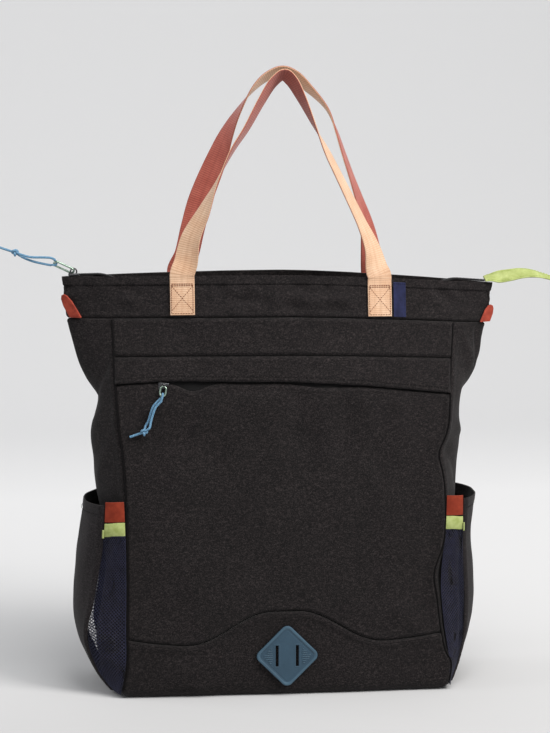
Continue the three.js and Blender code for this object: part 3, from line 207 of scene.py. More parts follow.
class BackpackSettings(bpy.types.PropertyGroup):
    """Sizes of the detail that the scene adds to the solids."""

    cloth_cell: FloatProperty(
        name="Cloth Cell",
        description="Average size of a face of the cloth panels",
        default=0.0028,
        min=0.001,
        unit="LENGTH",
        subtype="DISTANCE",
    )
    seam_depth: FloatProperty(
        name="Seam Depth",
        description="How deep the cloth sinks into its seams",
        default=0.0022,
        unit="LENGTH",
        subtype="DISTANCE",
    )
    unevenness: FloatProperty(
        name="Unevenness",
        description="Height of the broad soft waves of the cloth",
        default=0.0015,
        unit="LENGTH",
        subtype="DISTANCE",
    )
    stitch_length: FloatProperty(
        name="Stitch Length",
        description="Length of one stitch",
        default=0.0023,
        unit="LENGTH",
        subtype="DISTANCE",
    )
    stitch_pitch: FloatProperty(
        name="Stitch Pitch",
        description="Distance from one stitch to the next",
        default=0.0032,
        unit="LENGTH",
        subtype="DISTANCE",
    )
    rib_pitch: FloatProperty(
        name="Rib Pitch",
        description="Distance between the cross ribs of the handle webbing",
        default=0.0022,
        unit="LENGTH",
        subtype="DISTANCE",
    )
    rib_height: FloatProperty(
        name="Rib Height",
        description="Height of the cross ribs of the handle webbing",
        default=0.00014,
        unit="LENGTH",
        subtype="DISTANCE",
    )
    net_pitch: FloatProperty(
        name="Netting Pitch",
        description="Distance between the holes of the side pockets' netting",
        default=0.0036,
        unit="LENGTH",
        subtype="DISTANCE",
    )
    net_yarn: FloatProperty(
        name="Netting Yarn",
        description="Thickness of the netting's yarn",
        default=0.001,
        unit="LENGTH",
        subtype="DISTANCE",
    )
    braid_pitch: FloatProperty(
        name="Braid Pitch",
        description="Length of one turn of the cords' braid",
        default=0.006,
        unit="LENGTH",
        subtype="DISTANCE",
    )
    tooth_pitch: FloatProperty(
        name="Tooth Pitch",
        description="Distance between the teeth of the zips",
        default=0.0015,
        unit="LENGTH",
        subtype="DISTANCE",
    )


class Profile:
    """A table of named columns, read between its rows along a smooth curve."""

    def __init__(self, columns, *rows):
        self.names = columns.split()
        self.rows = rows
        self.known = {}

    def __call__(self, at):
        at = round(at, 4)
        if at not in self.known:
            self.known[at] = SimpleNamespace(**dict(zip(self.names, self.values(at))))
        return self.known[at]

    def values(self, at):
        rows, last = self.rows, len(self.rows) - 1
        i = 0
        while i < last - 1 and at > rows[i + 1][0]:
            i += 1
        a, b = rows[i], rows[i + 1]
        before, after = rows[max(i - 1, 0)], rows[min(i + 2, last)]
        span = b[0] - a[0]
        t = min(1.0, max(0.0, (at - a[0]) / span))
        t2, t3 = t * t, t * t * t
        return [
            (2 * t3 - 3 * t2 + 1) * a[k]
            + (t3 - 2 * t2 + t) * (b[k] - before[k]) / (b[0] - before[0]) * span
            + (3 * t2 - 2 * t3) * b[k]
            + (t3 - t2) * (after[k] - a[k]) / (after[0] - a[0]) * span
            for k in range(len(a))
        ]


# Plan sections of the body. Heights are shares of the body's height, widths of the rim's half width and depths of
# the body's half depth.
SECTIONS = Profile(
    "height seam_left seam_right side_left side_right seam_depth centre_depth power",
    (0, 0.757, 0.762, 0.775, 0.778, 0.94, 0.985, 3),
    (0.08, 0.729, 0.757, 0.782, 0.785, 0.95, 1, 2.8),
    (0.17, 0.726, 0.733, 0.79, 0.79, 0.91, 0.975, 2.4),
    (0.27, 0.722, 0.722, 0.8, 0.798, 0.85, 0.925, 2.2),
    (0.38, 0.722, 0.742, 0.817, 0.817, 0.78, 0.85, 2),
    (0.485, 0.727, 0.751, 0.857, 0.838, 0.72, 0.79, 2),
    (0.575, 0.738, 0.755, 0.87, 0.844, 0.665, 0.735, 2),
    (0.65, 0.757, 0.771, 0.877, 0.848, 0.615, 0.69, 1.9),
    (0.7, 0.762, 0.778, 0.864, 0.862, 0.565, 0.66, 1.8),
    (0.755, 0.769, 0.785, 0.905, 0.912, 0.48, 0.62, 1.5),
    (0.81, 0.772, 0.793, 0.943, 0.944, 0.385, 0.575, 1.3),
    (0.86, 0.774, 0.802, 0.966, 0.956, 0.3, 0.53, 1.25),
    (0.9, 0.778, 0.808, 0.979, 0.97, 0.24, 0.5, 1.3),
    (0.95, 0.79, 0.815, 0.989, 0.989, 0.19, 0.45, 1.5),
    (1, 0.805, 0.822, 0.997, 1, 0.145, 0.4, 1.8),
)

# How far the front right corner seam strays inward or outward, in millimetres, at shares of the body's height.
SEAM_STRAY = Profile(
    "height push",
    (0, 0), (0.068, 3.8), (0.097, -1), (0.152, -2.5), (0.226, -3), (0.286, -5.5), (0.362, 1.5), (0.486, 0),
    (0.53, -2.7), (0.574, -6.5), (0.62, -1), (0.657, 0.7), (0.75, 0), (1, 0),
)

# Folds of the front cloth: ends as shares of the rim's half width and the body's height, the width as a share of
# the rim's half width, and the push in millimetres, forward when positive. The last rows are the scene's own.
FRONT_FOLDS = (
    (-0.5, 0.87, -0.36, 0.79, 0.09, -2),
    (-0.44, 0.7, 0.2, 0.69, 0.1, 1.5),
    (-0.45, 0.3, 0.3, 0.5, 0.35, 2.5),
    (0.7, 0.62, 0.62, 0.5, 0.08, -3),
    (0.72, 0.34, 0.64, 0.22, 0.09, -3),
    (-0.62, 0.1, -0.4, 0.03, 0.08, 2.5),
    (-0.7, 0.7, -0.6, 0.62, 0.035, -1.6),
    (-0.72, 0.46, -0.66, 0.33, 0.03, -1.3),
    (0.1, 0.735, 0.46, 0.705, 0.05, 1.2),
    (0.52, 0.2, 0.68, 0.12, 0.04, 1.4),
    (-0.3, 0.18, 0.22, 0.23, 0.12, 1.2),
)

# Creases of the gussets, in the same way: the side (0 for both), ends as places from the front seam at -1 to the
# back seam at 1 with shares of the body's height, the width as a share of the half depth, and the push outward.
GUSSET_FOLDS = (
    (0, -0.9, 0.82, 0, 0.69, 0.26, -3.5),
    (0, 0.9, 0.82, 0, 0.69, 0.26, -3.5),
    (0, -0.6, 0.72, -0.3, 0.6, 0.25, 2),
    (0, 0.3, 0.62, 0.3, 0.48, 0.3, -1.5),
    (-1, -0.15, 0.69, -0.95, 0.805, 0.07, -2.2),
    (-1, -0.8, 0.6, -0.35, 0.52, 0.1, 1.6),
    (1, -0.8, 0.88, -0.35, 0.8, 0.09, 3),
    (1, -0.3, 0.88, -0.1, 0.8, 0.08, -3),
    (1, -0.85, 0.58, -0.4, 0.5, 0.09, -2.2),
    (1, -0.8, 0.66, -0.3, 0.62, 0.08, 1.6),
)

# How far the flap's loose edge sags, in shares of the flap's height, from its left end at -1 to its right end at 1.
FLAP_EDGE = Profile(
    "across sag",
    (-1, 0.1), (-0.7, 0), (-0.56, 0), (-0.46, 0.02), (-0.3, 0.04), (0.08, 0.08), (0.19, 0.12), (0.28, 0.14),
    (0.38, 0.18), (0.5, 0.22), (0.74, 0.36), (1, 0.5),
)

# Plan rows of the side pockets, as shares of their height and spread.
SIDE_POCKET_ROWS = Profile(
    "height edge_left bulge_left edge_right bulge_right",
    (0, 0.81, 0.83, 0.815, 0.83), (0.06, 0.858, 0.88, 0.838, 0.855), (0.13, 0.9, 0.924, 0.86, 0.88),
    (0.27, 0.946, 0.977, 0.885, 0.93), (0.37, 0.944, 0.997, 0.888, 0.95), (0.48, 0.921, 1, 0.888, 0.955),
    (0.62, 0.898, 0.991, 0.884, 0.952), (0.75, 0.876, 0.982, 0.88, 0.943), (0.9, 0.867, 0.961, 0.88, 0.95),
    (1, 0.862, 0.95, 0.88, 0.957),
)

END_TAB_ROWS = Profile(
    "along rise roll",
    (0, 0, 14), (0.1, 1.2, 26), (0.22, 2, 52), (0.36, 3.4, 50), (0.52, 5.2, 40), (0.66, 5.2, 28), (0.82, 3, 17),
    (1, -1, 8),
)

# The free legs of the handles: rise and distance from the top's middle as shares, and twist as a share.
HANDLE_LEGS = {
    "front_left": (
        (0.08, 0.965, 0.12), (0.2, 0.915, 0.34), (0.33, 0.79, 0.53), (0.46, 0.672, 0.76), (0.63, 0.506, 0.88),
        (0.74, 0.365, 0.92), (0.87, 0.222, 0.96), (0.965, 0.1, 0.99), (1, 0, 1),
    ),
    "front_right": (
        (0.06, 0.972, 0.1), (0.16, 0.925, 0.36), (0.28, 0.817, 0.51), (0.45, 0.64, 0.56), (0.63, 0.449, 0.6),
        (0.76, 0.313, 0.77), (0.89, 0.18, 0.9), (0.97, 0.08, 0.98), (1, 0, 1),
    ),
    "rear_left": (
        (0.1, 0.93, 0.03), (0.23, 0.868, 0.09), (0.36, 0.8, 0.17), (0.46, 0.725, 0.24), (0.59, 0.618, 0.38),
        (0.69, 0.54, 0.54), (0.79, 0.44, 0.7), (0.92, 0.265, 0.9), (0.975, 0.14, 0.97), (1, 0, 1),
    ),
    "rear_right": (
        (0.12, 0.975, 0.26), (0.26, 0.925, 0.48), (0.37, 0.85, 0.58), (0.48, 0.765, 0.64), (0.61, 0.665, 0.67),
        (0.71, 0.59, 0.7), (0.82, 0.485, 0.78), (0.93, 0.26, 0.92), (0.98, 0.13, 0.98), (1, 0, 1),
    ),
}

# Cords of the top pull from the end of its wire loop, outward, toward the back and up, as shares of its reach.
TOP_CORDS = {
    "knot": ((1.001, 0, 0.278),),
    "upper": ((-0.029, -0.038, 0.08), (0.081, -0.038, 0.13), (0.244, -0.038, 0.145), (0.619, -0.04, 0.16),
              (0.824, -0.065, 0.22)),
    "lower": ((0.079, 0.038, -0.065), (0.236, 0.038, -0.035), (0.544, 0.038, 0.04), (0.794, 0.06, 0.14)),
    "tail": ((1.381, 0, 0.41), (1.706, 0, 0.558)),
}

# Cords of the pocket's pull: aside and down as shares of its drop, and how far the cord's middle stands in front
# of the cloth, in diameters.
POCKET_CORDS = {
    "knot": ((0.414, 1.014, 1.9),),
    "upper": ((0.05, 0.38, 1.7), (0.166, 0.5, 1.8), (0.228, 0.64, 1.8), (0.28, 0.82, 1.9), (0.308, 0.928, 2.6)),
    "lower": ((0.106, 0.372, 0.8), (0.216, 0.494, 0.7), (0.272, 0.634, 0.7), (0.328, 0.81, 0.7),
              (0.384, 0.904, 0.9)),
    "tail": ((0.55, 1.064, 1), (0.71, 1.12, 0.8)),
}


def square_to(vector, ahead):
    """The unit vector square to ahead that is nearest to a vector."""
    return (vector - ahead * vector.dot(ahead)).normalized()


def smooth(value, low, high):
    """A soft step from 0 at low to 1 at high."""
    t = min(1.0, max(0.0, (value - low) / (high - low)))
    return t * t * (3 - 2 * t)


def bump(value, middle, width):
    """A soft hill of height 1."""
    return math.exp(-(((value - middle) / width) ** 2))


def segment_distance(x, y, x0, y0, x1, y1):
    dx, dy = x1 - x0, y1 - y0
    along = min(1.0, max(0.0, ((x - x0) * dx + (y - y0) * dy) / (dx * dx + dy * dy)))
    return math.hypot(x - x0 - along * dx, y - y0 - along * dy)


def section_at(share):
    """The body's plan at a share of its height, with the widths in millimetres."""
    row = SECTIONS(share)
    return SimpleNamespace(
        seam_left=row.seam_left * RIM_HALF_WIDTH,
        seam_right=row.seam_right * RIM_HALF_WIDTH + SEAM_STRAY(share).push,
        side_left=row.side_left * RIM_HALF_WIDTH,
        side_right=row.side_right * RIM_HALF_WIDTH,
        seam_depth=row.seam_depth * BODY_HALF_DEPTH,
        centre_depth=row.centre_depth * BODY_HALF_DEPTH,
        power=row.power,
    )


def front_relief(x, z):
    return sum(
        push * math.exp(-((segment_distance(
            x, z, fx * RIM_HALF_WIDTH, fz * BODY_HEIGHT, tx * RIM_HALF_WIDTH, tz * BODY_HEIGHT
        ) / (width * RIM_HALF_WIDTH)) ** 2))
        for fx, fz, tx, tz, width, push in FRONT_FOLDS
    )


def gusset_relief(side, v, z):
    push = sum(
        push * math.exp(-((segment_distance(
            v * BODY_HALF_DEPTH, z,
            fv * BODY_HALF_DEPTH, fz * BODY_HEIGHT, tv * BODY_HALF_DEPTH, tz * BODY_HEIGHT,
        ) / (width * BODY_HALF_DEPTH)) ** 2))
        for which, fv, fz, tv, tz, width, push in GUSSET_FOLDS
        if which in (0, side)
    )
    return push * (1 - v**4)


def droop(x, share):
    """How much lower the cloth hangs than at the middle."""
    across = abs(x) / RIM_HALF_WIDTH
    full = RIM_DROP_RIGHT * across**1.4 if x > 0 else RIM_DROP_LEFT * across**2
    return full * smooth(share, 0.45, 1)


def base_roll(height, wall):
    """The climb and inset of the cloth round the bottom edge."""
    if height >= BASE_EDGE_RADIUS:
        return height, wall
    angle = max(height, 0) / BASE_EDGE_RADIUS * math.pi / 2
    radius = BASE_EDGE_RADIUS - wall
    return BASE_EDGE_RADIUS - radius * math.cos(angle), BASE_EDGE_RADIUS - radius * math.sin(angle)


def face_point(across, height, wall, facing):
    """A point of the front (facing -1) or back (facing 1) cloth, across from -1 at the left seam to 1."""
    climb, inset = base_roll(height, wall)
    share = climb / BODY_HEIGHT
    section = section_at(share)
    x = across * ((section.seam_left if across < 0 else section.seam_right) - inset)
    depth = section.centre_depth - (section.centre_depth - section.seam_depth) * abs(across) ** 1.8 - inset
    if facing < 0 and height >= BASE_EDGE_RADIUS:
        depth += front_relief(x, climb) * (1 - across**8)
    return Vector((x, facing * depth, climb - droop(x, share)))


def gusset_point(side, v, height, wall):
    """A point of a gusset, v from -1 at the front seam to 1 at the back seam."""
    climb, inset = base_roll(height, wall)
    share = climb / BODY_HEIGHT
    section = section_at(share)
    outermost = (section.side_left if side < 0 else section.side_right) - inset
    seam = (section.seam_left if side < 0 or v > 0.3 else section.seam_right) - inset
    if side > 0:
        plain = SECTIONS(share).seam_right * RIM_HALF_WIDTH - inset
        seam = plain + SEAM_STRAY(share).push * smooth(-v, 0, 1)
    relief = gusset_relief(side, v, climb) if height >= BASE_EDGE_RADIUS else 0
    x = side * (outermost - (outermost - seam) * abs(v) ** section.power + relief)
    return Vector((x, v * (section.seam_depth - inset), climb - droop(x, share)))


def across_at(x, height):
    section = section_at(height / BODY_HEIGHT)
    return x / (section.seam_left if x < 0 else section.seam_right)


def front_surface(x, height):
    return face_point(across_at(x, height), height, 0, -1)


def yoke_seam(across):
    """The height of the wavy seam above the base."""
    x = abs(across) * RIM_HALF_WIDTH * 0.729
    fall = min(1.0, max(0.0, (x - YOKE_CREST_HALF_WIDTH) / (YOKE_WAVE_HALF_WIDTH - YOKE_CREST_HALF_WIDTH)))
    flare = 14 * max(0, (x - YOKE_WAVE_HALF_WIDTH) / YOKE_WAVE_HALF_WIDTH) ** 1.5
    return YOKE_SEAM_HEIGHT + YOKE_WAVE_RISE * (0.5 + 0.5 * math.cos(math.pi * fall)) + flare


def flap_edge(across):
    return FLAP_EDGE_HEIGHT - FLAP_EDGE(across).sag * (FLAP_STITCH_HEIGHT - FLAP_EDGE_HEIGHT)


def band_point(across, height, wall, facing):
    """A point of the rim band, round the front or back from corner to corner."""
    if abs(across) <= BAND_FACE_SHARE:
        return face_point(across / BAND_FACE_SHARE, height, wall, facing)
    side = 1 if across > 0 else -1
    point = gusset_point(side, facing * (1 - abs(across)) / 0.16, height, wall)
    point.y = facing * max(abs(point.y), SEAM_GAP / 2)
    return point


def band_out(across, facing, lift=0.0):
    """The outward direction of the rim band."""
    if abs(across) > BAND_FACE_SHARE:
        return Vector((math.copysign(1, across), facing * 0.8, lift)).normalized()
    return Vector((0, facing, lift))


def band_depth(x, height, wall):
    section = section_at(height / BODY_HEIGHT)
    outermost = (section.side_left if x < 0 else section.side_right) - wall
    seam = (section.seam_left if x < 0 else section.seam_right) - wall
    if abs(x) <= seam:
        return abs(face_point(x / seam, height, wall, 1).y)
    inward = max(0, (outermost - abs(x)) / (outermost - seam))
    return inward ** (1 / section.power) * (section.seam_depth - wall)


def rim_height(x):
    return BODY_HEIGHT - droop(x, 1)


def top_chain_height(x):
    rise = smooth(abs(x) / RIM_HALF_WIDTH, 0.64, TOP_TAPE_REACH_SHARE)
    return rim_height(x) - ZIP_RECESS * (1 - rise) + (TOP_CHAIN_THICKNESS / 2 + 2 * TOUCH) * rise


def slider_eye_height():
    return SLIDER_THICKNESS + SLIDER_EYE_RADIUS - 2 * TOUCH


def pocket_hem(across):
    """The top edge of the pocket's cloth, tucked under the flap and slack beside the slider."""
    slack = 1.2 + 9 * bump(across, -0.54, 0.1) + 3.5 * bump(across, 0.22, 0.2) + 1.5 * bump(across, -0.2, 0.12)
    return flap_edge(across) - slack


def side_pocket_row(side, height):
    row = SIDE_POCKET_ROWS(height / SIDE_POCKET_HEIGHT)
    edge, bulge = (row.edge_left, row.bulge_left) if side < 0 else (row.edge_right, row.bulge_right)
    return edge * SIDE_POCKET_SPREAD, bulge * SIDE_POCKET_SPREAD


def pocket_skin(side, v, height, stand=0.0):
    """A point of a side pocket's outer cloth, v from -1 at its front edge to 1 at its rear edge."""
    edge, bulge = side_pocket_row(side, height)
    x = edge + (bulge - edge) * (1 - abs(v) ** 2.4) + stand
    return Vector((side * x, v * SIDE_POCKET_HALF_DEPTH, height))


def pocket_gusset(side, facing, across, height, thick):
    """A point between the bag's corner seam and the pocket's front or rear edge."""
    plain = SECTIONS(height / BODY_HEIGHT)
    seam_x = (plain.seam_left if side < 0 else plain.seam_right) * RIM_HALF_WIDTH
    seam_y = plain.seam_depth * BODY_HALF_DEPTH
    start = seam_x + POCKET_SEAM_CLEARANCE
    end = side_pocket_row(side, height)[0] - SIDE_POCKET_WALL - 3 * TOUCH
    y = seam_y + (SIDE_POCKET_HALF_DEPTH - seam_y) * across + POCKET_SAG * math.sin(math.pi * across)
    return Vector((side * (start + (end - start) * across), facing * (y - thick), height))


def centripetal(points):
    """The centripetal curve through points, as a function of the place counted in points."""
    ends = [2 * points[0] - points[1], *points, 2 * points[-1] - points[-2]]

    def at(place):
        i = min(len(points) - 2, max(0, int(place)))
        t = place - i
        p0, p1, p2, p3 = ends[i : i + 4]
        d0, d1, d2 = [max(1e-4, (b - a).length ** 0.5) for a, b in ((p0, p1), (p1, p2), (p2, p3))]
        m1 = ((p1 - p0) / d0 - (p2 - p0) / (d0 + d1) + (p2 - p1) / d1) * d1
        m2 = ((p2 - p1) / d1 - (p3 - p1) / (d1 + d2) + (p3 - p2) / d2) * d1
        return (
            p1 + m1 * t + (3 * (p2 - p1) - 2 * m1 - m2) * t * t + (2 * (p1 - p2) + m1 + m2) * t**3
        )

    return at


def lengths_along(points):
    """The distance from the first point to each point along the line."""
    lengths = [0.0]
    for a, b in zip(points, points[1:]):
        lengths.append(lengths[-1] + (b - a).length)
    return lengths


def stretches(lengths, distances):
    """For each rising distance, the number of the stretch it falls in and its share of that stretch."""
    k = 0
    for distance in distances:
        while k < len(lengths) - 2 and lengths[k + 1] < distance:
            k += 1
        yield k, (distance - lengths[k]) / max(1e-9, lengths[k + 1] - lengths[k])


def even_places(curve, count, step):
    """Places along a curve of count points at even distances, and the curve's length."""
    fine = [i / 24 for i in range((count - 1) * 24 + 1)]
    lengths = lengths_along([curve(place) for place in fine])
    number = max(2, round(lengths[-1] / step))
    even = [lengths[-1] * i / number for i in range(number + 1)]
    places = [fine[k] + (fine[k + 1] - fine[k]) * min(1.0, part) for k, part in stretches(lengths, even)]
    return places, lengths[-1]


def clustered(t, gather=0.6):
    """A share that steps more finely near 0 and 1."""
    return t - gather * math.sin(2 * math.pi * t) / (2 * math.pi)


def waves(point, salt=0.0):
    """Broad soft waves of cloth between -1 and 1, the same in every run."""
    broad = noise.noise(point * 0.017 + Vector((salt, 3.1, 7.7)))
    fine = noise.noise(point * 0.055 + Vector((5.3, salt, 1.9)))
    return broad + 0.35 * fine


def settled(point, out, edges, salt=0.0):
    """Cloth that waves between its seams, puckers beside them and sinks into them."""
    settings = bpy.context.scene.backpack
    nearest, along = min(edges, key=lambda edge: edge[0])
    free = smooth(nearest, 0, 22)
    rise = settings.unevenness / MM * waves(point, salt) * free
    ripple = math.sin(along * 2 * math.pi / 7.4 + 2.2 * noise.noise(Vector((along * 0.05, salt, 0))))
    rise += 0.22 * ripple * math.exp(-nearest / 6) * smooth(nearest, 0, 2.5)
    rise -= settings.seam_depth / MM * math.exp(-((nearest / 1.5) ** 2))
    rise += 0.45 * bump(nearest, 4.0, 2.0)
    return point + out * rise


def grid(across, up, place, paint=None, merge=False):
    """A grid whose points lie where place says, in millimetres, with its texture map in metres."""
    bm = bmesh.new()
    layer = bm.loops.layers.uv.new("UVMap")
    bmesh.ops.create_grid(bm, x_segments=across, y_segments=up, size=0.5, calc_uvs=True)
    if paint:
        for face in bm.faces:
            middle = face.calc_center_median()
            face.material_index = paint(middle.x + 0.5, middle.y + 0.5)
    wide = sum(((place(k / 16, 0.5) - place((k + 1) / 16, 0.5)).length for k in range(16)))
    high = sum(((place(0.5, k / 16) - place(0.5, (k + 1) / 16)).length for k in range(16)))
    for face in bm.faces:
        for loop in face.loops:
            loop[layer].uv = (loop[layer].uv.x * wide * MM, loop[layer].uv.y * high * MM)
    for vert in bm.verts:
        vert.co = place(vert.co.x + 0.5, vert.co.y + 0.5) * MM
    if merge:
        bmesh.ops.remove_doubles(bm, verts=bm.verts, dist=1e-6)
    return bm


def face_out(bm, inside):
    """Turns an open sheet's faces away from a point, in millimetres."""
    bmesh.ops.recalc_face_normals(bm, faces=bm.faces)
    centre = Vector(inside) * MM
    facing = sum(face.normal.dot(face.calc_center_median() - centre) * face.calc_area() for face in bm.faces)
    if facing < 0:
        bmesh.ops.reverse_faces(bm, faces=bm.faces)


def shade_smooth(mesh):
    mesh.polygons.foreach_set("use_smooth", [True] * len(mesh.polygons))


def piece(name, bm, looks, nodes=(), inside=None, wall=0.0, soften=0.0):
    """Makes an object of a mesh, gives it its materials, hangs it under the root and hides the solids that it
    stands for.
    """
    if inside is not None:
        face_out(bm, inside)
    mesh = bpy.data.meshes.new(name)
    bm.to_mesh(mesh)
    bm.free()
    for look in looks:
        mesh.materials.append(look)
    shade_smooth(mesh)
    obj = bpy.data.objects.new(name, mesh)
    bpy.context.scene.collection.objects.link(obj)
    if wall:
        thick = obj.modifiers.new("Wall", "SOLIDIFY")
        thick.thickness = wall * MM
        thick.offset = -1
    if soften:
        edge = obj.modifiers.new("Soft edge", "BEVEL")
        edge.width = soften * MM
        edge.segments = 2
        edge.limit_method = "ANGLE"
        edge.angle_limit = math.radians(55)
    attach(obj, "root")
    if nodes:
        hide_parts(*nodes)
    return obj


def tube(path, radius, sides, closed=False, relief=None):
    """A round tube along points in millimetres."""
    count = len(path)

    def ahead(k):
        if closed:
            return (path[(k + 1) % count] - path[k - 1]).normalized()
        return (path[min(k + 1, count - 1)] - path[max(k - 1, 0)]).normalized()

    frames, normal = [], None
    for k in range(count):
        direction = ahead(k)
        if normal is None:
            normal = direction.orthogonal().normalized()
        normal = square_to(normal, direction)
        frames.append((path[k], normal.copy(), direction.cross(normal)))
    turn = 0.0
    if closed:
        first, last = frames[0], frames[-1]
        carried = square_to(last[1], ahead(0))
        turn = math.atan2(carried.dot(first[2]), carried.dot(first[1]))

    def place(i, j):
        steps = count if closed else count - 1
        k = round(j * steps)
        centre, side, up = frames[k % count]
        angle = 2 * math.pi * (0 if i > 0.9999 else i) - (turn * (k % count) / count if closed else 0)
        reach = radius + (relief(angle, k % count) if relief else 0)
        return centre + side * (reach * math.cos(angle)) + up * (reach * math.sin(angle))

    bm = grid(sides, count if closed else count - 1, place, merge=True)
    if not closed:
        bmesh.ops.holes_fill(bm, edges=[edge for edge in bm.edges if edge.is_boundary], sides=0)
    bmesh.ops.recalc_face_normals(bm, faces=bm.faces)
    return bm


def band(stations, width, thickness, around=20, relief=None, paint=True, fullness=5.0):
    """A closed flat band of webbing along stations of (centre, wide, face), with rounded edges."""
    last = len(stations) - 1

    def place(i, j):
        k = round(j * last)
        centre, wide, face = stations[k]
        angle = 2 * math.pi * (0 if i > 0.9999 else i)
        c, s = math.cos(angle), math.sin(angle)
        w = math.copysign(abs(c) ** (2 / fullness), c)
        n = math.copysign(abs(s) ** (2 / fullness), s)
        extra = relief(w, n, k) if relief else 0
        return centre + wide * (w * width / 2) + face * (n * (thickness / 2 + extra))

    bm = grid(around, last, place, paint=(lambda i, j: 0 if i < 0.5 else 1) if paint else None, merge=True)
    bmesh.ops.holes_fill(bm, edges=[edge for edge in bm.edges if edge.is_boundary], sides=0)
    bmesh.ops.recalc_face_normals(bm, faces=bm.faces)
    return bm


def absorb(bm, other, scale=1.0):
    """Moves all of another mesh into bm."""
    mesh = bpy.data.meshes.new("absorbed")
    other.to_mesh(mesh)
    other.free()
    mesh.transform(Matrix.Scale(scale, 4))
    bm.from_mesh(mesh)
    bpy.data.meshes.remove(mesh)


def round_edges(bm, radius):
    bmesh.ops.bevel(bm, geom=list(bm.edges), offset=radius, segments=3, affect="EDGES", profile=0.5,
                    material=-1)


def stamp(bm, template, matrices):
    """Adds a copy of a small mesh for each matrix."""
    for matrix in matrices:
        copy = template.copy()
        copy.transform(matrix)
        bm.from_mesh(copy)
        bpy.data.meshes.remove(copy)


def basis(centre, ahead, out):
    """A matrix in metres with X ahead and Z out."""
    ahead = ahead.normalized()
    out = square_to(out, ahead)
    side = out.cross(ahead)
    return Matrix.Translation(centre * MM) @ Matrix((ahead, side, out)).transposed().to_4x4()


def bead(length, width, height, index=0):
    """A small rounded mesh for a stitch, tooth or ridge, in millimetres."""
    bm = bmesh.new()
    bmesh.ops.create_uvsphere(bm, u_segments=6, v_segments=5, radius=1)
    for vert in bm.verts:
        x, y, z = vert.co.z, vert.co.x, vert.co.y
        x = math.copysign(abs(x) ** 0.6, x)
        vert.co = Vector((x * length / 2, y * width / 2, z * height / 2)) * MM
    for face in bm.faces:
        face.material_index = index
    mesh = bpy.data.meshes.new("bead")
    bm.to_mesh(mesh)
    bm.free()
    return mesh


def stitches(name, rows, look, length=None, pitch=None, width=0.62, height=0.5):
    """Rows of stitches. Each row is a list of (point, out) pairs along it, in millimetres."""
    settings = bpy.context.scene.backpack
    length = length or settings.stitch_length / MM
    pitch = pitch or settings.stitch_pitch / MM
    template = bead(length, width, height)
    matrices = []
    for row in rows:
        lengths = lengths_along([point for point, _ in row])
        number = max(1, int(lengths[-1] / pitch))
        middles = [(i + 0.5) * lengths[-1] / number for i in range(number)]
        for k, part in stretches(lengths, middles):
            point = row[k][0].lerp(row[k + 1][0], part)
            out = row[k][1].lerp(row[k + 1][1], part)
            matrices.append(basis(point, row[k + 1][0] - row[k][0], out))
    bm = bmesh.new()
    stamp(bm, template, matrices)
    bpy.data.meshes.remove(template)
    return piece(name, bm, [look])


def tone(red, green, blue, alpha=1.0):
    """A screen colour of 0 to 255 as Blender's linear colour."""
    def linear(value):
        value /= 255
        return value / 12.92 if value <= 0.04045 else ((value + 0.055) / 1.055) ** 2.4

    return (linear(red), linear(green), linear(blue), alpha)


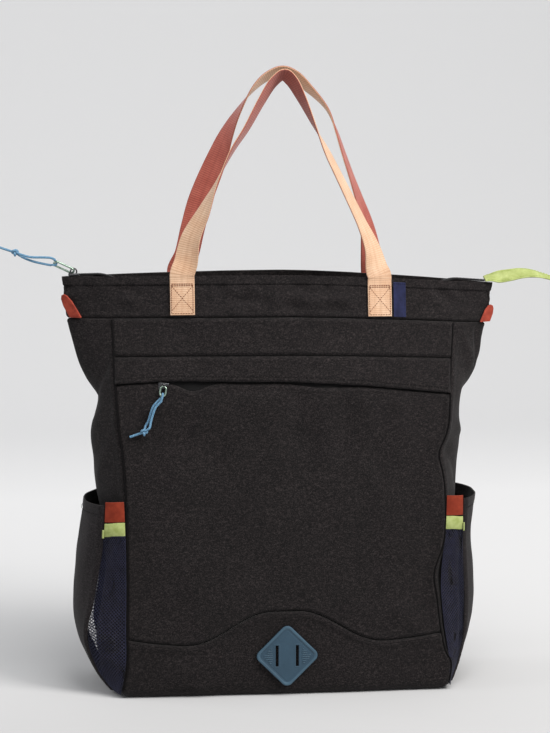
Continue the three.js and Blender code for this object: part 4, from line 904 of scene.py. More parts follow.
class Look:
    """Builds one procedural material."""

    def __init__(self, name, roughness=0.8, sheen=0.0, sheen_roughness=0.5, metallic=0.0, specular=0.5):
        self.material = bpy.data.materials.new(name)
        self.material.use_nodes = True
        self.nodes = self.material.node_tree.nodes
        self.links = self.material.node_tree.links
        self.shader = self.nodes["Principled BSDF"]
        self.shader.inputs["Roughness"].default_value = roughness
        self.shader.inputs["Metallic"].default_value = metallic
        self.shader.inputs["Specular IOR Level"].default_value = specular
        if sheen:
            self.shader.inputs["Sheen Weight"].default_value = sheen
            self.shader.inputs["Sheen Roughness"].default_value = sheen_roughness
        coordinates = self.nodes.new("ShaderNodeTexCoord")
        self.place, self.uv = coordinates.outputs["Object"], coordinates.outputs["UV"]
        self.heights = None

    def noise(self, scale, detail=2.0, roughness=0.5, stretch=None):
        node = self.nodes.new("ShaderNodeTexNoise")
        node.inputs["Scale"].default_value = scale
        node.inputs["Detail"].default_value = detail
        node.inputs["Roughness"].default_value = roughness
        source = self.place
        if stretch:
            mapping = self.nodes.new("ShaderNodeMapping")
            mapping.inputs["Scale"].default_value = stretch
            self.links.new(source, mapping.inputs["Vector"])
            source = mapping.outputs["Vector"]
        self.links.new(source, node.inputs["Vector"])
        return node.outputs["Fac"]

    def bands(self, pitch, direction="X", source=None):
        """Stripes with one full stripe for each pitch in metres."""
        node = self.nodes.new("ShaderNodeTexWave")
        node.wave_type = "BANDS"
        node.bands_direction = direction
        node.inputs["Scale"].default_value = math.pi / (10 * pitch)
        self.links.new(source or self.uv, node.inputs["Vector"])
        return node.outputs["Fac"]

    def math(self, operation, a, b=0.5, clamp=False):
        node = self.nodes.new("ShaderNodeMath")
        node.operation = operation
        node.use_clamp = clamp
        for socket, value in zip(node.inputs, (a, b)):
            if isinstance(value, (int, float)):
                socket.default_value = value
            else:
                self.links.new(value, socket)
        return node.outputs[0]

    def ramp(self, value, low, high, from_value=0.0, to_value=1.0):
        node = self.nodes.new("ShaderNodeMapRange")
        node.inputs["From Min"].default_value = low
        node.inputs["From Max"].default_value = high
        node.inputs["To Min"].default_value = from_value
        node.inputs["To Max"].default_value = to_value
        self.links.new(value, node.inputs["Value"])
        return node.outputs["Result"]

    def mix(self, share, a, b, blend="MIX"):
        node = self.nodes.new("ShaderNodeMix")
        node.data_type = "RGBA"
        node.blend_type = blend
        for socket, value in zip((node.inputs[0], node.inputs[6], node.inputs[7]), (share, a, b)):
            if isinstance(value, (int, float, tuple)):
                socket.default_value = value
            else:
                self.links.new(value, socket)
        return node.outputs[2]

    def colour(self, value):
        self.links.new(value, self.shader.inputs["Base Color"])
        return self

    def roughness(self, value):
        self.links.new(value, self.shader.inputs["Roughness"])
        return self

    def relief(self, value, distance, strength=1.0):
        """Adds bump of a height in metres, on top of any bump before it."""
        node = self.nodes.new("ShaderNodeBump")
        node.inputs["Distance"].default_value = distance
        node.inputs["Strength"].default_value = strength
        self.links.new(value, node.inputs["Height"])
        if self.heights:
            self.links.new(self.heights, node.inputs["Normal"])
        self.heights = node.outputs["Normal"]
        self.links.new(self.heights, self.shader.inputs["Normal"])
        return self


def plain_weave(look, pitch):
    """Over and under threads, 0 where both bands crest and 1 beside them."""
    return look.math("SUBTRACT", 1.0, look.math("MULTIPLY", look.bands(pitch, "X"), look.bands(pitch, "Y")))


def heather_cloth(name, dark, light, speck=0.5):
    """Dense polyester canvas of mixed dark threads."""
    look = Look(name, roughness=0.86, sheen=0.05, sheen_roughness=0.55, specular=0.16)
    flecks = look.noise(820, 3.0, 0.75)
    threads = look.noise(260, 3.0, 0.7, stretch=(1.0, 1.0, 2.2))
    fleck = look.math("ADD", look.ramp(flecks, 0.48, 0.68, 0.0, 1.1), look.ramp(threads, 0.5, 0.7, 0.0, 0.6))
    base = look.mix(look.math("MULTIPLY", fleck, speck, clamp=True), dark, light)
    worn = look.ramp(look.noise(16, 3.0, 0.6), 0.3, 0.7, 0.86, 1.14)
    look.colour(look.mix(1.0, base, worn, "MULTIPLY"))
    look.roughness(look.ramp(flecks, 0.3, 0.7, 0.78, 0.94))
    look.relief(look.noise(95, 3.0, 0.6), 0.0004, 0.35)
    look.relief(plain_weave(look, 0.0009), 0.00016, 0.5)
    look.relief(flecks, 0.00022, 0.5)
    return look.material


def ribbed_webbing(name, base, crown, groove_shade, pitch):
    """Flat woven tape: fine cross ribs and a lengthwise grain with painted shade in the grooves between them, and a
    slightly uneven dye.
    """
    look = Look(name, roughness=0.7, sheen=0.25, sheen_roughness=0.4, specular=0.3)
    ribs = look.bands(pitch, "Y")
    grain = look.bands(0.0011, "X")
    tint = look.mix(look.ramp(look.noise(60, 3.0, 0.6), 0.3, 0.7), base, crown)
    # painted shade: the colour darkens to the groove tone between the ribs and between the lengthwise threads
    threads = look.math("MULTIPLY", look.ramp(ribs, 0.0, 0.55, 0.55, 1.0), look.ramp(grain, 0.0, 0.6, 0.8, 1.0))
    fuzz = look.ramp(look.noise(900, 2.0, 0.7), 0.3, 0.7, 0.88, 1.0)
    look.colour(look.mix(look.math("MULTIPLY", threads, fuzz), groove_shade, tint))
    look.relief(grain, 0.00012, 0.6)
    look.relief(ribs, 0.0001, 0.5)
    look.relief(look.noise(1400, 2.0, 0.7), 0.00008, 0.5)
    return look.material


def fine_tape(name, base, shade, pitch=0.0008, sheen=0.2, direction="Y"):
    """Smooth grosgrain or binding tape."""
    look = Look(name, roughness=0.66, sheen=sheen, sheen_roughness=0.4, specular=0.15)
    ribs = look.bands(pitch, direction)
    mottled = look.mix(look.ramp(look.noise(130, 3.0, 0.6), 0.35, 0.7), shade, base)
    # painted shade: the grooves between the ribs take the shade tone; the mottling between shade and base is a
    # random dye tone
    look.colour(look.mix(look.ramp(ribs, 0.0, 0.6, 0.62, 1.0), shade, mottled))
    look.relief(ribs, 0.00012, 0.6)
    look.relief(look.noise(1200, 2.0, 0.6), 0.00008, 0.4)
    return look.material


def braided(name, light, dark):
    """Round braided cord with a light and a deep strand."""
    look = Look(name, roughness=0.62, sheen=0.2, sheen_roughness=0.4)
    crossing = look.math("MULTIPLY", look.bands(0.0022, "DIAGONAL"), look.bands(0.0012, "X"))
    flecks = look.ramp(look.noise(1100, 2.0, 0.7), 0.35, 0.65)
    look.colour(look.mix(look.math("MAXIMUM", crossing, look.math("MULTIPLY", flecks, 0.7)), dark, light))
    look.relief(crossing, 0.0002, 0.7)
    return look.material


def moulded_rubber(name, base, light, roughness=0.5):
    look = Look(name, roughness=roughness, specular=0.45)
    mottled = look.ramp(look.noise(45, 3.0, 0.6), 0.3, 0.75)
    look.colour(look.mix(mottled, base, light))
    look.roughness(look.ramp(look.noise(300, 2.0, 0.6), 0.3, 0.7, roughness - 0.08, roughness + 0.12))
    look.relief(look.noise(1500, 2.0, 0.6), 0.00005, 0.5)
    return look.material


def thread(name, base, shade):
    look = Look(name, roughness=0.8, specular=0.08)
    look.colour(look.mix(look.bands(0.0006, "DIAGONAL", look.place), shade, base))
    return look.material


def polished_wire(name, dark, light):
    look = Look(name, roughness=0.22, metallic=1.0)
    scuffs_and_glints = look.noise(240, 3.0, 0.6, stretch=(1.0, 1.0, 4.0))
    # The scuff streaks blend the dark tone toward the light tone: real scuffs, partly painted highlight.
    look.colour(look.mix(scuffs_and_glints, dark, light))
    look.roughness(look.ramp(scuffs_and_glints, 0.3, 0.7, 0.16, 0.34))
    look.relief(scuffs_and_glints, 0.00003, 0.3)
    return look.material


def coil_plastic(name, base, light, roughness=0.42):
    look = Look(name, roughness=roughness, specular=0.5)
    look.colour(look.mix(look.ramp(look.noise(500, 2.0, 0.6), 0.3, 0.7), base, light))
    look.relief(look.noise(900, 2.0, 0.6), 0.00004, 0.4)
    return look.material


def floor_paper_painted_light(name):
    look = Look(name, roughness=0.9, specular=0.1)
    height = look.nodes.new("ShaderNodeSeparateXYZ")
    look.links.new(look.place, height.inputs[0])
    # painted light: the paper runs from darker at the front to lighter far behind, making up for the key light
    # falling off toward the back
    share = look.ramp(height.outputs["Y"], -0.3, 1.0)
    look.colour(look.mix(share, tone(184, 184, 185), tone(232, 232, 233)))
    return look.material


LOOKS = {}


def make_looks():
    """All the materials, made once and shared by the pieces."""
    LOOKS.update(
        cloth=heather_cloth("heather_cloth", (0.0026, 0.0019, 0.0022, 1), (0.052, 0.042, 0.042, 1)),
        pocket_cloth=heather_cloth("pocket_cloth", (0.0044, 0.0032, 0.0038, 1), (0.052, 0.043, 0.045, 1)),
        strap_cloth=heather_cloth("strap_cloth", (0.005, 0.0042, 0.0046, 1), (0.05, 0.043, 0.046, 1), 0.4),
        binding=fine_tape("dark_binding", (0.011, 0.0095, 0.0105, 1), (0.005, 0.0045, 0.005, 1)),
        netting=fine_tape("netting_yarn", (0.026, 0.028, 0.062, 1), (0.013, 0.014, 0.032, 1), 0.0006, 0.05),
        # The third tone of each webbing is painted shade for the grooves between its ribs.
        peach=ribbed_webbing(
            "peach_webbing", tone(206, 167, 135), tone(220, 189, 160), tone(164, 115, 85), 0.0022
        ),
        terracotta=ribbed_webbing(
            "terracotta_webbing", tone(160, 78, 65), tone(182, 99, 84), tone(104, 43, 36), 0.0022
        ),
        rust=fine_tape("rust_tape", tone(138, 52, 31), tone(112, 38, 21), 0.0013, 0.1),
        rust_loop=fine_tape("rust_loop_tape", tone(168, 72, 54), tone(128, 48, 36), 0.0013, 0.1),
        lime=fine_tape("lime_tape", tone(174, 184, 122), tone(142, 153, 88), 0.0011, 0.1),
        cord=braided("blue_cord", tone(120, 166, 194), tone(46, 92, 128)),
        rubber=moulded_rubber("slate_rubber", tone(37, 62, 79), tone(44, 71, 89)),
        # painted highlight: a lighter copy of the slate rubber for the raised rim and ridges, standing in for the
        # light they catch
        rubber_rim=moulded_rubber("slate_rubber_rim", tone(52, 78, 95), tone(62, 90, 108), 0.42),
        label=fine_tape("navy_label", tone(38, 43, 78), tone(24, 27, 54), 0.0006, direction="X"),
        # painted highlight: the green wire's light tone is the colour of its highlight, spread along the scuff
        # streaks
        loop_wire=polished_wire("green_wire", tone(98, 124, 108), tone(190, 208, 194)),
        slider_metal=polished_wire("slider_metal", tone(62, 62, 64), tone(104, 104, 106)),
        coil=coil_plastic("zip_coil", (0.012, 0.012, 0.013, 1), (0.02, 0.02, 0.022, 1)),
        zip_tape=fine_tape("zip_tape", (0.004, 0.0035, 0.004, 1), (0.002, 0.0018, 0.002, 1), 0.0008, 0.02),
        buckle=coil_plastic("buckle_plastic", (0.012, 0.012, 0.013, 1), (0.018, 0.018, 0.019, 1), 0.36),
        dark_thread=thread("dark_thread", (0.007, 0.006, 0.0065, 1), (0.003, 0.0028, 0.003, 1)),
        brown_thread=thread("brown_thread", tone(132, 78, 52), tone(88, 48, 34)),
        lime_thread=thread("lime_thread", tone(188, 205, 122), tone(150, 168, 84)),
        floor=floor_paper_painted_light("floor_paper_painted_light"),
    )


def front_cloth(low, high, salt, lift=None, fold=None):
    """The place function of a front or back panel between two height functions."""
    settings = bpy.context.scene.backpack

    def place(i, j, facing=-1):
        across = 2 * clustered(i) - 1
        bottom, top = low(across), high(across)
        height = bottom + (top - bottom) * clustered(j)
        point = face_point(across, height, 0, facing)
        half = RIM_HALF_WIDTH * 0.75
        side = (1 - abs(across)) * half
        edges = [(side + 0.4, height), (top - height + 0.4, point.x)]
        if bottom > 0:
            edges.append((height - bottom + 0.4, point.x))
        out = Vector((0, facing, 0))
        if fold:
            point = point + out * fold(across, height, bottom, top)
        if lift:
            point = point + out * lift(j)
        return settled(point, out, edges, salt)

    return place


def cells(length):
    return max(8, round(length * MM / bpy.context.scene.backpack.cloth_cell))


def seam_line(reach, height, out):
    """A row of stitches along the front cloth, at a height function and a stand in front of the cloth."""
    row = []
    for k in range(121):
        across = -reach + 2 * reach * k / 120
        point = face_point(across, height(across), 0, -1)
        row.append((point - Vector((0, out, 0)), Vector((0, -1, 0.15))))
    return row


class PieceOperator:
    """What the operators share: the materials are made once, and a failure stops the script."""

    bl_options = {"REGISTER", "UNDO"}

    def execute(self, context):
        if not LOOKS:
            make_looks()
        self.build(context.scene.backpack)
        return {"FINISHED"}

    def build(self, settings):
        raise NotImplementedError(self.bl_idname)


class BACKPACK_OT_stage(PieceOperator, bpy.types.Operator):
    """Sets the camera, the pale floor that bends up behind, and the soft studio light"""

    bl_idname = "backpack.stage"
    bl_label = "Stage"

    def build(self, settings):
        scene = bpy.context.scene
        data = bpy.data.cameras.new("camera")
        data.sensor_fit = "VERTICAL"
        data.sensor_height = 24
        data.lens = CAMERA_LENS
        camera = bpy.data.objects.new("camera", data)
        camera.location = CAMERA_PLACE
        camera.rotation_euler = (Vector(CAMERA_TARGET) - camera.location).to_track_quat("-Z", "Y").to_euler()
        scene.collection.objects.link(camera)
        scene.camera = camera

        def backdrop(i, j):
            run = FLOOR_SIZE * j
            flat, radius = FLOOR_FLAT, FLOOR_BEND_RADIUS
            bend = min(max(run - flat, 0), radius * math.pi / 2)
            rise = max(0, run - flat - radius * math.pi / 2)
            angle = bend / radius
            y = FLOOR_FRONT + min(run, flat) + radius * math.sin(angle)
            return Vector((FLOOR_SIZE * (i - 0.5), y, radius * (1 - math.cos(angle)) + rise - 0.2))

        bm = grid(24, 120, backdrop)
        bmesh.ops.recalc_face_normals(bm, faces=bm.faces)
        mesh = bpy.data.meshes.new("floor")
        bm.to_mesh(mesh)
        bm.free()
        mesh.materials.append(LOOKS["floor"])
        shade_smooth(mesh)
        floor = bpy.data.objects.new("floor", mesh)
        scene.collection.objects.link(floor)
        floor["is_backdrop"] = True

        for name, place, size, power, colour in LIGHTS:
            light = bpy.data.lights.new(name, "AREA")
            light.shape = "SQUARE"
            light.size = size
            light.energy = power
            light.color = colour
            lamp = bpy.data.objects.new(name, light)
            lamp.location = place
            lamp.rotation_euler = (Vector((0, 0, 0.3)) - lamp.location).to_track_quat("-Z", "Y").to_euler()
            scene.collection.objects.link(lamp)
        world = bpy.data.worlds.new("studio")
        world.use_nodes = True
        world.node_tree.nodes["Background"].inputs["Color"].default_value = (0.93, 0.94, 0.95, 1)
        world.node_tree.nodes["Background"].inputs["Strength"].default_value = WORLD_STRENGTH
        scene.world = world
        scene.view_settings.view_transform = "Standard"


class BACKPACK_OT_front(PieceOperator, bpy.types.Operator):
    """Builds the front cloth: the yoke, the pocket, the flap and the panel above it, with their stitching"""

    bl_idname = "backpack.front"
    bl_label = "Front Cloth"

    def build(self, settings):
        cloth = [LOOKS["cloth"]]
        inside = (0, 0, 200)

        def yoke_fold(across, height, bottom, top):
            edge = top - height
            return 0.9 * smooth(edge, 0, 1.2) * (1 - smooth(edge, 6, 9)) - 0.45 * bump(edge, 2.6, 0.9)

        place = front_cloth(lambda a: 0, lambda a: yoke_seam(a) - SEAM_GAP, 1.3, fold=yoke_fold)
        piece("yoke", grid(cells(340), cells(80), place), cloth, ["front_yoke"], inside=inside, wall=PANEL_WALL)

        def panel_fold(across, height, bottom, top):
            below = top - height
            puff = 5 * noise.noise(Vector((across * 5.5, height * 0.02, 7.7)))
            puff *= smooth(across, -0.6, -0.42) * smooth(below, 0, 16) * (1 - 0.85 * smooth(below, 45, 120))
            return puff - 0.5 * (1 - smooth(height - bottom, 0, 5))

        place = front_cloth(yoke_seam, pocket_hem, 2.1, fold=panel_fold)
        piece("front_cloth", grid(cells(340), cells(262), place), cloth, ["front_panel"], inside=inside,
              wall=PANEL_WALL, soften=0.6)

        def flap_fold(across, height, bottom, top):
            edge = height - bottom
            ruck = 0.35 * math.sin(across * 55 + 3 * math.sin(across * 9)) * math.exp(-edge / 9)
            return ruck - 0.4 * bump(edge, 5.5, 1.0) + 0.5 * (1 - smooth(edge, 0, 5))

        place = front_cloth(flap_edge, lambda a: FLAP_STITCH_HEIGHT - SEAM_GAP, 3.7,
                            lift=lambda j: FLAP_LIFT * (1 - j), fold=flap_fold)
        piece("flap", grid(cells(340), 18, place), cloth, ["pocket_flap"], inside=inside, wall=PANEL_WALL,
              soften=0.8)

        def upper_fold(across, height, bottom, top):
            return 0.5 * smooth(height - bottom, 0, 1.0) - 0.4 * bump(height - bottom, 2.6, 0.9)

        place = front_cloth(lambda a: FLAP_STITCH_HEIGHT, lambda a: BAND_SEAM_HEIGHT - SEAM_GAP, 4.9,
                            fold=upper_fold)
        piece("upper_cloth", grid(cells(340), 22, place), cloth, ["front_upper_panel"], inside=inside,
              wall=PANEL_WALL)

        stitches("yoke_stitches", [seam_line(0.99, lambda a: yoke_seam(a) - SEAM_GAP - TOPSTITCH_OFFSET, 0.75)],
                 LOOKS["dark_thread"])
        stitches("upper_stitches", [seam_line(0.985, lambda a: FLAP_STITCH_HEIGHT + TOPSTITCH_OFFSET, 0.35)],
                 LOOKS["dark_thread"])
        stitches("flap_stitches", [seam_line(0.985, lambda a: flap_edge(a) + FLAP_STITCH_OFFSET, 3.1)],
                 LOOKS["dark_thread"])


class BACKPACK_OT_body(PieceOperator, bpy.types.Operator):
    """Builds the back cloth, the two gussets, the base and the rim band, with the band's hem stitching"""

    bl_idname = "backpack.body"
    bl_label = "Body Cloth"

    def build(self, settings):
        cloth = [LOOKS["cloth"]]
        inside = (0, 0, 200)
        back = front_cloth(lambda a: 0, lambda a: BAND_SEAM_HEIGHT - SEAM_GAP, 6.1)
        piece("back_cloth", grid(cells(300), cells(300), lambda i, j: back(i, j, 1)), cloth, ["back_panel"],
              inside=inside, wall=PANEL_WALL)
        for side, word in SIDES:

            def gusset(i, j, side=side):
                v = (2 * clustered(i, 0.5) - 1) * (1 - CORNER_SEAM_GAP / BODY_HALF_DEPTH)
                height = (BAND_SEAM_HEIGHT - SEAM_GAP) * clustered(j, 0.4)
                point = gusset_point(side, v, height, 0)
                depth = section_at(height / BODY_HEIGHT).seam_depth
                edges = [((1 - abs(v)) * depth * 1.1 + 0.4, height), (BAND_SEAM_HEIGHT - height + 0.4, point.y)]
                out = Vector((side, 0.35 * v, 0)).normalized()
                return settled(point, out, edges, 8.0 + side)

            piece("gusset_" + word, grid(cells(150), cells(380), gusset), cloth, ["side_panel_" + word],
                  inside=inside, wall=PANEL_WALL)

        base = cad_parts["base_panel"]
        base.material_slots[0].material = LOOKS["cloth"]

        for facing, word in FACES:

            def rim(i, j, facing=facing):
                across = 2 * i - 1
                height = BAND_SEAM_HEIGHT + (BODY_HEIGHT - BAND_SEAM_HEIGHT) * clustered(j, 0.4)
                point = band_point(across, height, 0, facing)
                out = band_out(across, facing)
                below = BODY_HEIGHT - height
                corner = 16 * (1 - abs(across))
                hem = 0.9 * (1 - smooth(below, 8.3, 9.6)) - 0.5 * bump(below, 9.9, 0.8)
                ruck = 1.1 * math.sin(point.x * 0.21 + 4 * noise.noise(point * 0.02)) * bump(below, 13, 7)
                broad = noise.noise(Vector((point.x * 0.045, point.z * 0.06, 2.0 + facing)))
                ruck += 4.5 * broad * bump(below, 27, 12)
                ruck *= smooth(abs(abs(point.x) - HANDLE_HALF_SPACING - 6), 24, 44)
                edges = [(height - BAND_SEAM_HEIGHT + 0.4, point.x), (30 * corner + 5, height)]
                return settled(point + out * (hem + ruck), out, edges, 11.0 + facing)

            piece("rim_" + word, grid(cells(460), 56, rim), cloth, ["rim_band_" + word], inside=(0, 0, 400),
                  wall=PANEL_WALL, soften=0.7)

        rows = []
        for facing in (-1, 1):
            row = []
            for k in range(301):
                across = -0.985 + 1.97 * k / 300
                point = band_point(across, BODY_HEIGHT - HEM_STITCH_DROP, 0, facing)
                out = band_out(across, facing, 0.1)
                row.append((point + out * 0.2, out))
            rows.append(row)
        stitches("rim_stitches", rows, LOOKS["dark_thread"], width=0.7)

        # painted shade: a thin dark tube runs up each corner seam, standing in for the seam's shadow line
        for facing, end in FACES:
            for side, word in SIDES:
                out = Vector((side * 0.5, facing, 0)).normalized() * -0.3
                rise = BAND_SEAM_HEIGHT - BASE_EDGE_RADIUS - 1
                path = [
                    face_point(side, BASE_EDGE_RADIUS + rise * k / 240, 0, facing) + out
                    for k in range(241)
                ]
                bm = tube(path, CORNER_SEAM_SHADOW_RADIUS, 8)
                piece("corner_seam_shadow_" + end + "_" + word, bm, [LOOKS["dark_thread"]])


class BACKPACK_OT_handles(PieceOperator, bpy.types.Operator):
    """Builds the two handles of ribbed webbing with their sewn ends, and the bare label beside one"""

    bl_idname = "backpack.handles"
    bl_label = "Handles"

    def sewn(self, side, facing, height):
        stand = -(HANDLE_TOUCH + HANDLE_THICKNESS / 2)
        x = side * HANDLE_HALF_SPACING
        half = HANDLE_WIDTH / 2
        low, high = [
            face_point(across_at(x + shift, height), height, stand, facing) for shift in (-half, half)
        ]
        centre = face_point(across_at(x, height), height, stand, facing)
        centre.x = x
        return centre, side * math.atan2(high.y - low.y, high.x - low.x)

    def stations(self, facing, word):
        top = BODY_HEIGHT + HANDLE_RISE + (REAR_HANDLE_EXTRA_RISE if facing > 0 else 0)
        apex = Vector((HANDLE_APEX_X, facing * HANDLE_APEX_HALF_GAP, top))
        sewn_top = BAND_SEAM_HEIGHT + SEWN_MARGIN + HANDLE_SEWN_LENGTH
        legs = {}
        for side, name in SIDES:
            leg = [self.sewn(side, facing, sewn_top - HANDLE_SEWN_LENGTH * share) for share in (1, 0.5, 0)]
            start, turn = leg[-1]
            over = start.copy()
            over.z = rim_height(over.x) + HANDLE_THICKNESS
            leg.append((over, turn))
            for rise, out, twist in HANDLE_LEGS[word + "_" + name]:
                centre = start.lerp(apex, rise)
                centre.x = apex.x + (start.x - apex.x) * out
                leg.append((centre, turn + (HANDLE_APEX_TWIST - turn) * twist))
            legs[name] = leg
        knots = legs["left"] + legs["right"][-2::-1]
        curve = centripetal([knot[0] for knot in knots])
        places, length = even_places(curve, len(knots), HANDLE_STEP)
        result = []
        turns = []
        for place in places:
            k = min(int(place), len(knots) - 2)
            turns.append(knots[k][1] + (place - k) * (knots[k + 1][1] - knots[k][1]))
        reach = round(TWIST_BLEND / HANDLE_STEP)
        for number, place in enumerate(places):
            near = turns[max(0, number - reach) : number + reach + 1]
            twist = sum(near) / len(near)
            ahead = (curve(min(place + 0.02, len(knots) - 1)) - curve(max(place - 0.02, 0))).normalized()
            front = Vector((0, -1, 0))
            front = square_to(front, ahead)
            outward = front.cross(ahead)
            face = front * math.cos(twist) + outward * math.sin(twist)
            result.append((curve(place), ahead.cross(face), face))
        return result, length

    def build(self, settings):
        rows, box_rows = [], []
        for facing, word in FACES:
            stations, length = self.stations(facing, word)
            step = length / (len(stations) - 1)
            pitch = settings.rib_pitch / MM

            def ribs(w, n, k, step=step, pitch=pitch):
                rib = settings.rib_height / MM * math.cos(2 * math.pi * k * step / pitch)
                edge = abs(w)
                bead_edge = 0.12 * bump(edge, 0.93, 0.05)
                return (rib * (1 - smooth(edge, 0.9, 1.0)) + bead_edge - 0.06 * bump(edge, 0.82, 0.05)) * min(
                    1, abs(n) * 2
                )

            looks = [LOOKS["peach"], LOOKS["terracotta"]][::-facing]
            bm = band(stations, HANDLE_WIDTH, HANDLE_THICKNESS, around=26, relief=ribs, fullness=6)
            piece("handle_webbing_" + word, bm, looks, ["handle_" + word])
            for end in (0, -1):
                near = stations[: int(HANDLE_SEWN_LENGTH / step)]
                if end:
                    near = stations[-int(HANDLE_SEWN_LENGTH / step) :][::-1]
                low, high = 1.6, HANDLE_SEWN_LENGTH - 3.4

                def spot(across, up, near=near, step=step, facing=facing):
                    centre, wide, face = near[min(len(near) - 1, max(0, round(up / step)))]
                    if face.y * facing < 0:
                        face = -face
                    if wide.x < 0:
                        wide = -wide
                    return centre + wide * across + face * (HANDLE_THICKNESS / 2 + 0.16), face

                edge = HANDLE_WIDTH / 2 - 1.7
                top = high - 0.5

                def run(a, b, spot=spot):
                    return [
                        spot(a[0] + (b[0] - a[0]) * t / 30, a[1] + (b[1] - a[1]) * t / 30)
                        for t in range(31)
                    ]

                rows += [
                    run((-edge, low), (edge, low)),
                    run((-edge, low), (-edge, top)),
                    run((edge, low), (edge, top)),
                    run((-edge, low + 3), (edge, top - 2)),
                    run((edge, low + 3), (-edge, top - 2)),
                ]
                box_rows += [run((-edge, top), (edge, top)), run((-edge, top - 1.6), (edge, top - 1.6))]
        stitches("handle_stitches", rows, LOOKS["brown_thread"], length=1.9, pitch=2.5, width=0.6, height=0.45)
        stitches("handle_tacks", box_rows, LOOKS["brown_thread"], length=2.0, pitch=2.3, width=0.9, height=0.6)

        left = HANDLE_HALF_SPACING + HANDLE_WIDTH / 2 + LABEL_GAP
        low = BAND_SEAM_HEIGHT + SEWN_MARGIN

        def label(i, j):
            x, height = left + LABEL_WIDTH * i, low + LABEL_HEIGHT * j
            point = face_point(across_at(x, height), height, -1.1, -1)
            rim = min(i, 1 - i) * LABEL_WIDTH
            point.y -= 0.18 * (1 - smooth(rim, 0.6, 1.2)) + 0.25 * math.sin(i * 3.1) * (1 - j)
            return point

        piece("bare_label", grid(26, 64, label), [LOOKS["label"]], ["label"],
              inside=(0, 0, 400), wall=0.8, soften=0.2)
        row = []
        for k in range(21):
            x, height = left + LABEL_WIDTH * k / 20, low + LABEL_HEIGHT - 1.6
            row.append((face_point(across_at(x, height), height, -1.35, -1), Vector((0, -1, 0))))
        stitches("label_stitches", [row], LOOKS["dark_thread"], length=1.6, pitch=2.2, width=0.45)


